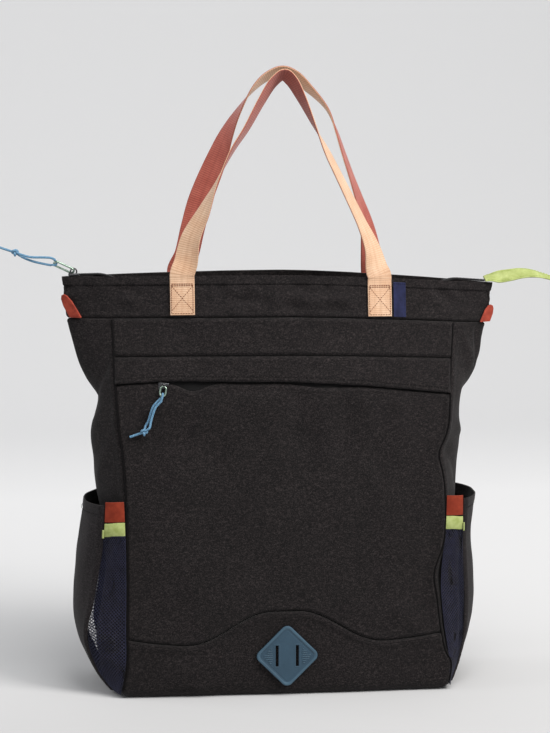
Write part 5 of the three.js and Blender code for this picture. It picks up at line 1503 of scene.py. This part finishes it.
class BACKPACK_OT_pulls(PieceOperator, bpy.types.Operator):
    """Builds the zip sliders, their wire loops, and the doubled cords with their knots and tails"""

    bl_idname = "backpack.pulls"
    bl_label = "Zip Pulls"

    def slider(self, name, node, base, turn, along_chain):
        bm = bmesh.new()
        bmesh.ops.create_cube(bm, size=1)
        for vert in bm.verts:
            narrow = 0.72 if vert.co.x > 0 else 1.0
            vert.co = Vector((vert.co.x * SLIDER_LENGTH, vert.co.y * SLIDER_WIDTH * narrow,
                              (vert.co.z + 0.5) * SLIDER_THICKNESS))
        round_edges(bm, 0.7)
        arch = [
            Vector((math.cos(a) * SLIDER_BOW_RADIUS, 0, slider_eye_height() + math.sin(a) * SLIDER_BOW_RADIUS))
            for a in [math.radians(-35 + 250 * k / 24) for k in range(25)]
        ]
        if along_chain:
            arch = [Vector((0, point.x, point.z)) for point in arch]
        absorb(bm, tube(arch, SLIDER_BOW_WIRE_RADIUS, 10), 1 / MM)
        bm.transform(Matrix.Scale(MM, 4) @ Matrix.Translation(base) @ turn)
        bmesh.ops.recalc_face_normals(bm, faces=bm.faces)
        return piece(name, bm, [LOOKS["slider_metal"]], [node])

    def loop(self, name, node, start, along, across, length):
        straight, radius = length - PULL_LOOP_WIDTH, PULL_LOOP_WIDTH / 2 - PULL_WIRE_RADIUS
        path = []
        for end in range(2):
            for k in range(17):
                angle = math.pi * (end + 0.5 + k / 16)
                path.append(start + along * (radius + (straight if end else 0) + radius * math.cos(angle))
                            + across * (radius * math.sin(angle)))
            if straight > 2:
                a = path[-1]
                b = a + along * (straight if end == 0 else -straight)
                path += [a.lerp(b, t / 6) for t in range(1, 6)]
        bm = tube(path, PULL_WIRE_RADIUS, 12, closed=True)
        return piece(name, bm, [LOOKS["loop_wire"]], [node])

    def strand(self, name, node, points, settings):
        curve = centripetal(points)
        places, length = even_places(curve, len(points), CORD_STEP)
        path = [curve(place) for place in places]
        pitch = settings.braid_pitch / MM

        def braid(angle, k):
            along = 2 * math.pi * k * length / (len(path) - 1) / pitch
            return 0.1 * max(math.sin(4 * angle + 3 * along), math.sin(4 * angle - 3 * along))

        bm = tube(path, CORD_DIAMETER / 2 - 0.1, 20, relief=braid)
        obj = piece(name, bm, [LOOKS["cord"]], [node])
        return obj, path, length

    def knot(self, name, node, centre, lean):
        """The cord tied in a trefoil."""
        path = []
        for k in range(150):
            t = 2 * math.pi * k / 150
            x = (math.sin(t) + 2 * math.sin(2 * t)) * KNOT_SPREAD
            y = (math.cos(t) - 2 * math.cos(2 * t)) * KNOT_SPREAD
            z = -math.sin(3 * t) * KNOT_LIFT
            path.append(centre + lean @ Vector((x, z, y)))
        bm = tube(path, KNOT_CORD_RADIUS, 12, closed=True)
        return piece(name, bm, [LOOKS["cord"]], [node])

    def bight(self, name, centre, ahead, out, lower, upper):
        """The bend of the cord round the end of a wire loop, reaching into its two strands."""
        reach = PULL_WIRE_RADIUS + CORD_DIAMETER / 2 + 0.1
        points = [lower]
        for k in range(7):
            angle = math.radians(-100 + 200 * k / 6)
            points.append(centre - ahead * (reach * math.cos(angle)) + out * (reach * math.sin(angle)))
        points.append(upper)
        curve = centripetal(points)
        path = [curve(place) for place in even_places(curve, len(points), CORD_STEP)[0]]
        return piece(name, tube(path, CORD_DIAMETER / 2 - 0.15, 14), [LOOKS["cord"]])

    def cords(self, prefix, places, settings, tip, along, out):
        at_knot = places["knot"][0]
        knot = self.knot(prefix + "_tied_knot", prefix + "_knot", at_knot, Matrix.Rotation(0.6, 3, "Z"))
        tail_points = [at_knot + (places["tail"][0] - at_knot).normalized() * 2.2, *places["tail"]]
        tail, _, _ = self.strand(prefix + "_tail", prefix + "_cord_tail", tail_points, settings)
        into = [places[word][0].lerp(places[word][1], 0.12) for word in ("lower", "upper")]
        bight = self.bight(prefix + "_bight", tip, along, out, *into)
        for word in ("upper", "lower"):
            points = places[word]
            end = at_knot + (points[-1] - at_knot).normalized() * 2.4
            strand, path, length = self.strand(
                prefix + "_strand_" + word, prefix + "_cord_" + word, [*points, end], settings
            )
            [tuple(p * MM) for p in path[::2]]

    def build(self, settings):
        base = Vector((TOP_SLIDER_X, 0, rim_height(TOP_SLIDER_X) + 2 * TOUCH))
        self.slider("top_slider", "top_zip_slider", base, Matrix.Identity(4), False)
        eye = base + Vector((0, 0, slider_eye_height()))
        along = Vector((-0.906, 0, 0.423)).normalized()
        across = Matrix.Rotation(1.0, 3, along) @ Vector((0, 1, 0))
        self.loop("top_wire_loop", "top_zip_pull_loop", eye, along, across, PULL_LOOP_LENGTH)
        tip = eye + along * (PULL_LOOP_LENGTH - 2 * PULL_WIRE_RADIUS)
        places = {
            word: [tip + Vector((-out, side, up)) * TOP_PULL_REACH for out, side, up in rows]
            for word, rows in TOP_CORDS.items()
        }
        self.cords("top_pull", places, settings, tip, along, Vector((0.3, 0, 1)).normalized())

        across_share = across_at(POCKET_SLIDER_X, FLAP_EDGE_HEIGHT)
        middle = flap_edge(across_share) - SLIDER_WIDTH / 2 - 3 * TOUCH
        seat = front_surface(POCKET_SLIDER_X, middle)
        seat.y += PANEL_WALL
        low, high = [front_surface(POCKET_SLIDER_X, middle + end * SLIDER_WIDTH / 2) for end in (-1, 1)]
        lean = math.atan2(high.y - low.y, high.z - low.z)
        turn = Matrix.Rotation(math.pi / 2 - lean, 4, "X")
        self.slider("pocket_slider", "pocket_zip_slider", seat, turn, True)
        eye = seat + Vector((0, -slider_eye_height(), 0))
        along = Vector((-0.16, -0.22, -0.96)).normalized()
        side = Vector((1, 0, 0))
        side = square_to(side, along)
        self.loop("pocket_wire_loop", "pocket_zip_pull_loop", eye, along, side, POCKET_LOOP_LENGTH)
        tip = eye + along * (POCKET_LOOP_LENGTH - 2 * PULL_WIRE_RADIUS)
        places = {}
        for word, rows in POCKET_CORDS.items():
            places[word] = []
            for aside, down, stand in rows:
                point = front_surface(POCKET_SLIDER_X - aside * POCKET_PULL_DROP,
                                      FLAP_EDGE_HEIGHT - down * POCKET_PULL_DROP)
                point.y -= stand * CORD_DIAMETER
                places[word].append(point)
        self.cords("pocket_pull", places, settings, tip, along, Vector((0, -1, 0)))


class BACKPACK_OT_zips(PieceOperator, bpy.types.Operator):
    """Builds the tapes and coils of the top zip and of the front pocket's zip"""

    bl_idname = "backpack.zips"
    bl_label = "Zips"

    def coil(self, name, node, stations, width, thickness, settings):
        """A flat tape core with interlocking turns of coil along both its edges."""
        core = [(centre - face * 0.45, wide, face) for centre, wide, face in stations]
        bm = band(core, width, thickness * 0.45, around=12, paint=False)
        turn = bead(width * 0.58, settings.tooth_pitch / MM * 0.62, thickness * 0.8, index=1)
        matrices = []
        for k, (centre, wide, face) in enumerate(stations):
            side = 1 if k % 2 else -1
            place = centre + wide * (side * width * 0.17) + face * (thickness * 0.12)
            matrices.append(basis(place, wide, face))
        stamp(bm, turn, matrices)
        bpy.data.meshes.remove(turn)
        piece(name, bm, [LOOKS["zip_tape"], LOOKS["coil"]], [node])

    def build(self, settings):
        reach = RIM_HALF_WIDTH * TOP_TAPE_REACH_SHARE
        for facing, word in FACES:

            def tape(i, j, facing=facing):
                x = (2 * i - 1) * reach
                height = min(BODY_HEIGHT, BODY_HEIGHT - rim_height(x) + top_chain_height(x) + TOUCH)
                outer = band_depth(x, height, PANEL_WALL) - 2 * TOUCH
                y = outer + (TOP_CHAIN_WIDTH / 2 + TOUCH - outer) * j
                ripple = 0.35 * math.sin(x * 0.12) * math.sin(math.pi * j)
                return Vector((x, facing * y, top_chain_height(x) + (1 - j) * TOUCH + ripple))

            piece("zip_tape_" + word, grid(160, 8, tape), [LOOKS["zip_tape"]], ["top_zip_tape_" + word],
                  inside=(0, 0, 0), wall=1.0)
        pitch = settings.tooth_pitch / MM / 2
        start, end = TOP_SLIDER_X + SLIDER_LENGTH / 2 + TOUCH, RIM_HALF_WIDTH - 8
        count = round((end - start) / pitch)
        stations = [
            (Vector((x, 0, top_chain_height(x))), Vector((0, 1, 0)), Vector((0, 0, 1)))
            for x in [start + (end - start) * k / count for k in range(count + 1)]
        ]
        self.coil("top_zip_coil", "top_zip_chain", stations, TOP_CHAIN_WIDTH, TOP_CHAIN_THICKNESS, settings)

        behind = PANEL_WALL + 2 * TOUCH

        def pocket_tape(i, j):
            across = (2 * i - 1) * 0.995
            height = flap_edge(across) + POCKET_CHAIN_RISE + (j - 0.5) * POCKET_TAPE_HEIGHT
            return face_point(across, height, behind, -1)

        piece("pocket_tape", grid(120, 14, pocket_tape), [LOOKS["zip_tape"]], ["pocket_zip_tape"],
              inside=(0, 0, 300), wall=1.0)
        start = across_at(POCKET_SLIDER_X + SLIDER_LENGTH / 2 + TOUCH, FLAP_EDGE_HEIGHT)
        middle = behind - 2 * TOUCH - POCKET_CHAIN_THICKNESS / 2
        count = round((POCKET_ZIP_SHARE - start) * RIM_HALF_WIDTH * 0.77 / pitch)
        stations = []
        for k in range(count + 1):
            across = start + (POCKET_ZIP_SHARE - start) * k / count
            height = flap_edge(across) + POCKET_CHAIN_RISE
            low, centre, high = [
                face_point(across, height + rise * POCKET_CHAIN_WIDTH / 2, middle, -1) for rise in (-1, 0, 1)
            ]
            wide = (high - low).normalized()
            stations.append((centre, wide, Vector((0, -wide.z, wide.y))))
        self.coil("pocket_zip_coil", "pocket_zip_chain", stations, POCKET_CHAIN_WIDTH, POCKET_CHAIN_THICKNESS,
                  settings)


class BACKPACK_OT_patch(PieceOperator, bpy.types.Operator):
    """Builds the moulded diamond patch with its raised rim, slots and short ridges"""

    bl_idname = "backpack.patch"
    bl_label = "Lash Patch"

    def build(self, settings):
        half, radius = PATCH_SIDE / 2, PATCH_CORNER_RADIUS
        reach = PATCH_SIDE * math.sqrt(0.5)
        low, high = [front_surface(0, PATCH_HEIGHT + end * reach * 0.8) for end in (-1, 1)]
        foremost = min(front_surface(0, PATCH_HEIGHT + k / 5 * reach).y for k in range(-4, 5))
        lean = math.atan2(high.y - low.y, high.z - low.z)
        tilt = Matrix.Rotation(-lean, 3, "X")
        seat = Vector((1, foremost - 2 * TOUCH, PATCH_HEIGHT))

        def slot_distance(x, z):
            return min(
                math.hypot(
                    max(abs(x - side * PATCH_SLOT_SPACING / 2) - PATCH_SLOT_WIDTH / 2, 0),
                    max(abs(z) - PATCH_SLOT_LENGTH / 2, 0),
                )
                for side in (-1, 1)
            )

        def height(x, z, edge):
            rise = PATCH_THICKNESS - PATCH_RIM_STEP
            rise += PATCH_RIM_STEP * (1 - smooth(edge, 2.6, 3.3))
            rise -= 0.25 * bump(edge, 4.6, 0.45)
            rise -= 0.9 * (1 - smooth(edge, 0, 0.9)) ** 2
            rise += 0.3 * bump(slot_distance(x, z), 1.0, 0.55)
            return rise

        def flat(i, j):
            """Rounded diamond shells round the middle: place across, place up and distance from the edge."""
            u, v = 2 * i - 1, 2 * j - 1
            level = max(abs(u), abs(v), 1e-6)
            x, y = u / level * half, v / level * half
            cx, cy = math.copysign(half - radius, x), math.copysign(half - radius, y)
            if abs(x) > half - radius and abs(y) > half - radius:
                away = Vector((x - cx, y - cy)).normalized() * radius
                x, y = cx + away.x, cy + away.y
            turn = math.sqrt(0.5)
            return level * (x - y) * turn, level * (x + y) * turn, (1 - level) * half

        # The raised rim band takes the lighter rubber, a painted highlight.
        bm = grid(104, 104, lambda i, j: Vector((*flat(i, j)[:2], 0)), paint=lambda i, j: 1 if 0.45 < flat(i, j)[2] < 2.9 else 0)
        for side in (-1, 1):
            middle = side * PATCH_SLOT_SPACING / 2
            for offset in (-PATCH_SLOT_WIDTH / 2, PATCH_SLOT_WIDTH / 2):
                geometry = bm.verts[:] + bm.edges[:] + bm.faces[:]
                bmesh.ops.bisect_plane(bm, geom=geometry, plane_co=((middle + offset) * MM, 0, 0),
                                       plane_no=(1, 0, 0), dist=1e-6)
        for offset in (-PATCH_SLOT_LENGTH / 2, PATCH_SLOT_LENGTH / 2):
            geometry = bm.verts[:] + bm.edges[:] + bm.faces[:]
            bmesh.ops.bisect_plane(bm, geom=geometry, plane_co=(0, offset * MM, 0),
                                   plane_no=(0, 1, 0), dist=1e-6)
        inner = [
            face for face in bm.faces
            if slot_distance(face.calc_center_median().x / MM, face.calc_center_median().y / MM) < 0.02
        ]
        bmesh.ops.delete(bm, geom=inner, context="FACES")

        def edge_of(x, z):
            """How far a point lies inside the rounded diamond's edge."""
            a, b = abs(x + z) * math.sqrt(0.5), abs(z - x) * math.sqrt(0.5)
            qx, qy = a - half + radius, b - half + radius
            outside = math.hypot(max(qx, 0), max(qy, 0)) + min(max(qx, qy), 0) - radius
            return -outside

        for vert in bm.verts:
            x, z = vert.co.x / MM, vert.co.y / MM
            vert.co = (seat + tilt @ Vector((x, -height(x, z, edge_of(x, z)), z))) * MM
        face_out(bm, (0, 0, 43))
        obj = piece("diamond_patch", bm, [LOOKS["rubber"], LOOKS["rubber_rim"]], ["lash_patch"],
                    wall=2.2)
        obj.modifiers["Wall"].material_offset_rim = 0

        # The ridges take the lighter rubber too, a painted highlight.
        bm = bmesh.new()
        for side in (-1, 1):
            for k in range(PATCH_RIDGES):
                from_middle = k - (PATCH_RIDGES - 1) / 2
                z = from_middle * PATCH_RIDGE_PITCH
                first = PATCH_SLOT_SPACING / 2 + 3.6 + 0.5 * abs(from_middle)
                last = reach - abs(z) - 8.2 - 0.25 * (k % 2) * 5
                last = max(last, first + PATCH_RIDGE_LEAST)
                ridge = bead(last - first, 0.95, 1.0)
                centre = seat + tilt @ Vector((side * (first + last) / 2, -(PATCH_THICKNESS - 0.5), z))
                stamp(bm, ridge, [basis(centre, Vector((1, 0, 0)), tilt @ Vector((0, -1, 0)))])
                bpy.data.meshes.remove(ridge)
        piece("patch_ridges", bm, [LOOKS["rubber_rim"]])


class BACKPACK_OT_trims(PieceOperator, bpy.types.Operator):
    """Builds the folded lime tab at the right end of the top zip and the two rust loops beside the rim"""

    bl_idname = "backpack.trims"
    bl_label = "Tabs and Loops"

    def build(self, settings):
        start = RIM_HALF_WIDTH - 8 + TOUCH
        base = top_chain_height(start) + 1.6
        stations = []
        for k in range(141):
            row = END_TAB_ROWS(k / 140)
            roll = math.radians(row.roll)
            stations.append((
                Vector((start + row.along * END_TAB_LENGTH, 0, base + row.rise)),
                Vector((0, math.cos(roll), math.sin(roll))),
                Vector((0, -math.sin(roll), math.cos(roll))),
            ))

        def folds(w, n, k):
            share = k / 140
            crease = -0.55 * bump(w, 0.15 - 0.5 * share, 0.16) * smooth(share, 0.05, 0.25)
            puff = 0.5 * bump(w, 0.6, 0.3) + 0.35 * bump(w, -0.6, 0.3)
            ripple = 0.25 * math.sin(share * 26 + w * 3)
            return (crease + puff * (0.4 + 0.6 * smooth(share, 0, 0.5)) + ripple * smooth(share, 0, 0.2)) * 0.8

        bm = band(stations, END_TAB_WIDTH, END_TAB_THICKNESS, around=36, relief=folds, paint=False, fullness=4)
        piece("lime_tab", bm, [LOOKS["lime"]], ["zip_end_tab"])
        row = [(station[0] + station[1] * 5.6 + station[2] * 1.5, station[2]) for station in stations[4:-3]]
        other = [(station[0] - station[1] * 5.6 + station[2] * 1.4, station[2]) for station in stations[4:-3]]
        stitches("tab_stitches", [row, other], LOOKS["lime_thread"], width=0.5, height=0.4)

        for side, from_rim, stand, over, out, back, rise, turn in (
            (-1, 11.5, 1.65, 2.5, 11.1, 1.3, 20, 0.5),
            (1, 6.5, 2.95, -9, 6.7, 3.5, 15, -0.5),
        ):
            x = side * (RIM_HALF_WIDTH - from_rim)
            height = BAND_SEAM_HEIGHT + over
            on_band = band_depth(x, height + droop(x, height / BODY_HEIGHT), 0)
            low = Vector((x, -(on_band + stand), height))
            high = low + Vector((side * out, back, rise))
            ahead = (high - low).normalized()
            face = Vector((-math.sin(turn), -math.cos(turn), 0))
            face = square_to(face, ahead)
            wide = ahead.cross(face)
            stations = []
            for k in range(53):
                share = (k - 12) / 40  # from -0.3, inside the seam, to 1 at the tip
                narrow = 1 - 0.05 * smooth(share, 0, 0.5) - 0.25 * smooth(share, 0.5, 0.85)
                narrow -= 0.45 * smooth(share, 0.82, 1.03)
                stations.append((low.lerp(high, share), wide * narrow, face))

            def leaf(w, n, k):
                return 0.3 * bump(w, 0.9, 0.2) - 0.35 * bump(w, 0.1, 0.3) * smooth(k / 40, 0, 0.6)

            bm = band(stations, LOOP_WIDTH, LOOP_THICKNESS, around=24, relief=leaf, paint=False, fullness=4)
            for vert in bm.verts:
                vert.co.z = max(vert.co.z, (BAND_SEAM_HEIGHT - droop(x, 0.9) + 0.4) * MM)
            word = "left" if side < 0 else "right"
            piece("rust_loop_" + word, bm, [LOOKS["rust_loop"]], ["side_loop_" + word])


class BACKPACK_OT_side_pockets(PieceOperator, bpy.types.Operator):
    """Builds the side pockets: cloth fronts with hems, knitted netting, lime binding and rust tabs"""

    bl_idname = "backpack.side_pockets"
    bl_label = "Side Pockets"

    def netting(self, name, node, place, across, up, settings):
        """Diamond netting: a grid is poked, its first edges dissolved, and the rest made into yarn."""
        bm = bmesh.new()
        bm.loops.layers.uv.new("UVMap")
        bmesh.ops.create_grid(bm, x_segments=across, y_segments=up, size=0.5, calc_uvs=True)
        first = set(bm.edges)
        inner = [edge for edge in first if not edge.is_boundary]
        bmesh.ops.poke(bm, faces=bm.faces)
        bmesh.ops.dissolve_edges(bm, edges=[edge for edge in inner if edge.is_valid], use_verts=False)
        for vert in bm.verts:
            vert.co = place(vert.co.x + 0.5, vert.co.y + 0.5) * MM
        bmesh.ops.wireframe(bm, faces=bm.faces, thickness=settings.net_yarn, offset=0.0, use_replace=True,
                            use_boundary=True, use_even_offset=False)
        piece(name, bm, [LOOKS["netting"]], [node])

    def build(self, settings):
        tab_top = SIDE_POCKET_HEIGHT + 4
        tab_low = tab_top - POCKET_TAB_HEIGHT
        binding_low = tab_low - SEAM_GAP - POCKET_BINDING_HEIGHT
        hem_rows = []
        for side, word in SIDES:

            def skin(i, j, side=side):
                height = SIDE_POCKET_FLOOR + (SIDE_POCKET_HEIGHT - SIDE_POCKET_FLOOR) * clustered(j, 0.4)
                v = 2 * clustered(i, 0.5) - 1
                point = pocket_skin(side, v, height)
                out = Vector((side, 0.3 * v, 0)).normalized()
                below = SIDE_POCKET_HEIGHT - height
                hem = 0.5 * (1 - smooth(below, 8, 10)) - 0.4 * bump(below, 10, 0.9)
                slack = 1.1 * noise.noise(Vector((point.y * 0.03, point.z * 0.016, 4.0 + side)))
                slack += 0.5 * math.sin(point.y * 0.19 + point.z * 0.05) * bump(below, 28, 22)
                slack *= smooth(height, 4, 30)
                edges = [((1 - abs(v)) * SIDE_POCKET_HALF_DEPTH + 0.4, height), (height, point.y)]
                return settled(point + out * (hem + slack), out, edges, 20.0 + side)

            piece("pocket_cloth_" + word, grid(cells(110), cells(200), skin), [LOOKS["pocket_cloth"]],
                  ["side_pocket_" + word + "_panel"], inside=(0, 0, 150), wall=SIDE_POCKET_WALL, soften=0.5)
            row = []
            for k in range(81):
                v = -0.97 + 1.94 * k / 80
                point = pocket_skin(side, v, SIDE_POCKET_HEIGHT - POCKET_HEM_DROP, 0.25)
                row.append((point, Vector((side, 0.3 * v, 0))))
            hem_rows.append(row)

            for facing, end in FACES:
                nodes = "_".join(("side_pocket", word, "%s", end))
                low, high = SIDE_POCKET_FLOOR + 1, binding_low - SEAM_GAP

                def net(i, j, side=side, facing=facing, low=low, high=high):
                    height = low + (high - low) * j
                    point = pocket_gusset(side, facing, i, height, 0.5)
                    free = math.sin(math.pi * i) * smooth(j, 0, 0.1) * smooth(1 - j, 0, 0.06)
                    fold = 1.3 * math.sin(i * 9 + 2.5 * j) + 0.8 * math.sin(j * 16 + i * 3)
                    fold += 2.0 * bump(j, 0.16 + 0.08 * i, 0.05)
                    point.y += facing * fold * 0.7 * free
                    return point

                wide = (net(0, 0.5) - net(1, 0.5)).length
                across = max(4, round(wide / (settings.net_pitch / MM)))
                up = round((high - low) / (settings.net_pitch / MM))
                self.netting("netting_" + word + "_" + end, nodes % "mesh", net, across, up, settings)

                def lining(i, j, side=side, facing=facing, low=low, high=tab_top - 3):
                    """Cloth behind the netting, so that the bag's narrower middle doesn't leave it empty."""
                    share = 0.98 - 0.2 * smooth(j, 0.06, 0.2) + 0.2 * smooth(j, 0.66, 0.8)
                    return pocket_gusset(side, facing, i * share, low + (high - low) * j, LINING_DEPTH)

                piece("pocket_lining_" + word + "_" + end, grid(12, 60, lining), [LOOKS["pocket_cloth"]],
                      inside=(0, 0, 150), wall=0.5)

                def strip(low, high, bow, side=side, facing=facing):
                    def place(i, j):
                        height = low + (high - low) * j
                        point = pocket_gusset(side, facing, i, height, 0)
                        point.z -= 1.6 * smooth(i, 0.3, 1) * bow
                        point.y += facing * (bow * math.sin(math.pi * j) - 0.3 * bump(i, 0.5, 0.3) * bow)
                        return point

                    return place

                bm = grid(24, 16, strip(binding_low, tab_low - SEAM_GAP, 1.0))
                piece("lime_binding_" + word + "_" + end, bm, [LOOKS["lime"]], [nodes % "binding"],
                      inside=(0, 0, 170), wall=1.4, soften=0.45)
                bm = grid(24, 20, strip(tab_low, tab_top, 0.35))
                piece("rust_tab_" + word + "_" + end, bm, [LOOKS["rust"]], [nodes % "tab"],
                      inside=(0, 0, 170), wall=1.4, soften=0.45)

            def tail(i, j, side=side):
                point = pocket_gusset(side, -1, 0.985 + 0.1 * i, binding_low - 2.5 + 8.5 * j, 0)
                point.y -= 2.2 + 1.2 * math.sin(math.pi * i)
                return point

            piece("lime_end_" + word, grid(8, 16, tail), [LOOKS["lime"]], inside=(0, 0, 170),
                  wall=1.2, soften=0.4)
        stitches("pocket_stitches", hem_rows, LOOKS["dark_thread"])


class BACKPACK_OT_straps(PieceOperator, bpy.types.Operator):
    """Builds the padded shoulder straps with their binding, ladder buckles and webbing"""

    bl_idname = "backpack.straps"
    bl_label = "Shoulder Straps"

    def point(self, side, share):
        height = STRAP_TOP_HEIGHT + (STRAP_LOW_HEIGHT - STRAP_TOP_HEIGHT) * share
        x = side * (STRAP_TOP_X + (STRAP_LOW_X - STRAP_TOP_X) * share**1.5)
        cloth = face_point(across_at(x - side * STRAP_PAD_WIDTH / 2, height), height, 0, 1)
        bow = STRAP_BOW * math.sin(math.pi * 0.86 * share)
        return Vector((x, cloth.y + STRAP_PAD_THICKNESS / 2 + 2 * TOUCH + bow, cloth.z))

    def stations(self, points, step):
        curve = centripetal(points)
        result = []
        for place in even_places(curve, len(points), step)[0]:
            ahead = (curve(min(place + 0.05, len(points) - 1)) - curve(max(place - 0.05, 0))).normalized()
            wide = Vector((1, 0, 0))
            wide = square_to(wide, ahead)
            result.append((curve(place), wide, wide.cross(ahead)))
        return result

    def swell(self, pad):
        """Fills the pad by a short cloth simulation, then smooths its faces."""
        scene = bpy.context.scene
        bpy.context.view_layer.objects.active = pad
        remesh = pad.modifiers.new("Voxels", "REMESH")
        remesh.mode = "VOXEL"
        remesh.voxel_size = PAD_VOXEL * MM
        bpy.ops.object.modifier_apply(modifier="Voxels")
        before = [vert.co.copy() for vert in pad.data.vertices]
        cloth = pad.modifiers.new("Filling", "CLOTH")
        cloth.settings.use_pressure = True
        cloth.settings.uniform_pressure_force = PAD_PRESSURE
        cloth.settings.effector_weights.gravity = 0
        for number in range(1, PAD_FRAMES + 1):
            scene.frame_set(number)
        shape = pad.evaluated_get(bpy.context.evaluated_depsgraph_get()).to_mesh()
        after = [vert.co.copy() for vert in shape.vertices]
        pad.modifiers.remove(cloth)
        most = PAD_SWELL_LIMIT * MM
        for vert, old, new in zip(pad.data.vertices, before, after):
            move = new - old
            vert.co = old + (move.normalized() * min(move.length, most) if move.length else move)
        bm = bmesh.new()
        bm.from_mesh(pad.data)
        for _ in range(PAD_SMOOTHINGS):
            bmesh.ops.smooth_vert(bm, verts=bm.verts, factor=0.5,
                                  use_axis_x=True, use_axis_y=True, use_axis_z=True)
        bm.to_mesh(pad.data)
        bm.free()
        scene.frame_set(1)

    def build(self, settings):
        for side, word in SIDES:
            points = [self.point(side, k / 12) for k in range(13)]
            stations = self.stations(points, 4.0)

            def crown(w, n, k):
                return 0.5 * bump(w, 0, 0.5) - 0.7 * smooth(abs(w), 0.7, 1.0)

            bm = band(stations, STRAP_PAD_WIDTH - 1.5, STRAP_PAD_THICKNESS - 1.8, around=36, relief=crown,
                      paint=False, fullness=3)
            pad = piece("strap_pad_" + word, bm, [LOOKS["strap_cloth"]], ["shoulder_strap_" + word])
            self.swell(pad)
            smoother = pad.modifiers.new("Smooth", "SUBSURF")
            smoother.levels = 1
            smoother.render_levels = 1
            shade_smooth(pad.data)

            edges = self.stations(points, 2.0)
            rim = []
            half = STRAP_PAD_WIDTH / 2 - 2.0
            for centre, wide, _ in edges:
                rim.append(centre + wide * half)
            for centre, wide, _ in reversed(edges):
                rim.append(centre - wide * half)
            bm = tube(rim, PAD_BINDING_RADIUS, 12, closed=True)
            piece("strap_binding_" + word, bm, [LOOKS["binding"]])

            inner = side * (STRAP_FOOT_X - STRAP_WEBBING_WIDTH / 2)
            foot = face_point(across_at(inner, STRAP_FOOT_HEIGHT), STRAP_FOOT_HEIGHT, 0, 1)
            foot.x = side * STRAP_FOOT_X
            foot.y += STRAP_WEBBING_THICKNESS / 2 + 4 * TOUCH
            low = points[-1]
            ahead = (foot - low).normalized()
            wide = Vector((1, 0, 0))
            wide = square_to(wide, ahead)
            face = wide.cross(ahead)
            start = STRAP_PAD_THICKNESS / 2 + TOUCH
            centre = low + ahead * (start + BUCKLE_LENGTH / 2)
            bar = BUCKLE_LENGTH / 7
            bm = bmesh.new()
            rails = [((side_x * (BUCKLE_WIDTH - bar) / 2, 0), (bar, BUCKLE_LENGTH)) for side_x in (-1, 1)]
            bars = [((0, y * (BUCKLE_LENGTH - bar) / 2), (BUCKLE_WIDTH - 1, bar)) for y in (-1, 0, 1)]
            for (x, y), (wide_mm, long_mm) in rails + bars:
                cube = bmesh.new()
                bmesh.ops.create_cube(cube, size=1)
                for vert in cube.verts:
                    vert.co = Vector((vert.co.x * wide_mm + x, vert.co.y * long_mm + y,
                                      vert.co.z * BUCKLE_THICKNESS * (0.96 if y == 0 and x else 0.8)))
                round_edges(cube, 1.1)
                absorb(bm, cube)
            turn = Matrix((wide, ahead, face)).transposed().to_4x4()
            bm.transform(Matrix.Scale(MM, 4) @ Matrix.Translation(centre) @ turn)
            piece("ladder_buckle_" + word, bm, [LOOKS["buckle"]], ["strap_buckle_" + word])

            def local(along, out):
                return centre + ahead * along + face * out

            upper = [local(-BUCKLE_LENGTH / 2 - 8, -1.2), local(-15.5, -2.9), local(-13, 2.9),
                     local(-16.5, 4.0), local(-BUCKLE_LENGTH / 2 - 8, 1.6)]
            bm = band(self.stations(upper, 1.1), 23, 1.4, around=20, paint=False)
            piece("strap_anchor_" + word, bm, [LOOKS["binding"]])
            end = foot - face * 0.2
            lower = [end, centre.lerp(end, 0.55) - face * 0.6, local(BUCKLE_LENGTH / 2 + 4, -0.5),
                     local(8, -2.6), local(3.6, 3.6), local(-1.5, 4.3), local(8, 4.6), local(20, 3.2),
                     local(38, 2.6)]
            bm = band(self.stations(lower, 1.1), 22.5, 1.4, around=20, paint=False,
                      relief=lambda w, n, k: 0.08 * math.cos(k * 2.4))
            piece("strap_lower_webbing_" + word, bm, [LOOKS["binding"]], ["strap_webbing_" + word])


class BACKPACK_PT_panel(bpy.types.Panel):
    """Sidebar panel with the sizes and the operators of every group of pieces"""

    bl_idname = "BACKPACK_PT_panel"
    bl_label = "Convertible Backpack"
    bl_space_type = "VIEW_3D"
    bl_region_type = "UI"
    bl_category = "Backpack"

    def draw(self, context):
        settings = context.scene.backpack
        for name in BackpackSettings.__annotations__:
            self.layout.prop(settings, name)
        for operator in OPERATORS:
            self.layout.operator(operator.bl_idname)


OPERATORS = (
    BACKPACK_OT_stage,
    BACKPACK_OT_pulls,
    BACKPACK_OT_front,
    BACKPACK_OT_body,
    BACKPACK_OT_handles,
    BACKPACK_OT_zips,
    BACKPACK_OT_patch,
    BACKPACK_OT_trims,
    BACKPACK_OT_side_pockets,
    BACKPACK_OT_straps,
)


def register():
    for cls in (BackpackSettings, *OPERATORS, BACKPACK_PT_panel):
        bpy.utils.register_class(cls)
    bpy.types.Scene.backpack = PointerProperty(type=BackpackSettings)


def unregister():
    del bpy.types.Scene.backpack
    for cls in reversed((BackpackSettings, *OPERATORS, BACKPACK_PT_panel)):
        bpy.utils.unregister_class(cls)


def plain(box):
    return [[float(value) for value in corner] for corner in box]


def main():
    cad_box = plain(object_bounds())
    register()
    bpy.ops.backpack.stage()
    bpy.ops.backpack.pulls()
    bpy.ops.backpack.front()
    bpy.ops.backpack.body()
    bpy.ops.backpack.handles()
    bpy.ops.backpack.zips()
    bpy.ops.backpack.patch()
    bpy.ops.backpack.trims()
    bpy.ops.backpack.side_pockets()
    bpy.ops.backpack.straps()
    {"cad": cad_box, "visual": plain(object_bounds())}


if __name__ == "__main__":
    main()
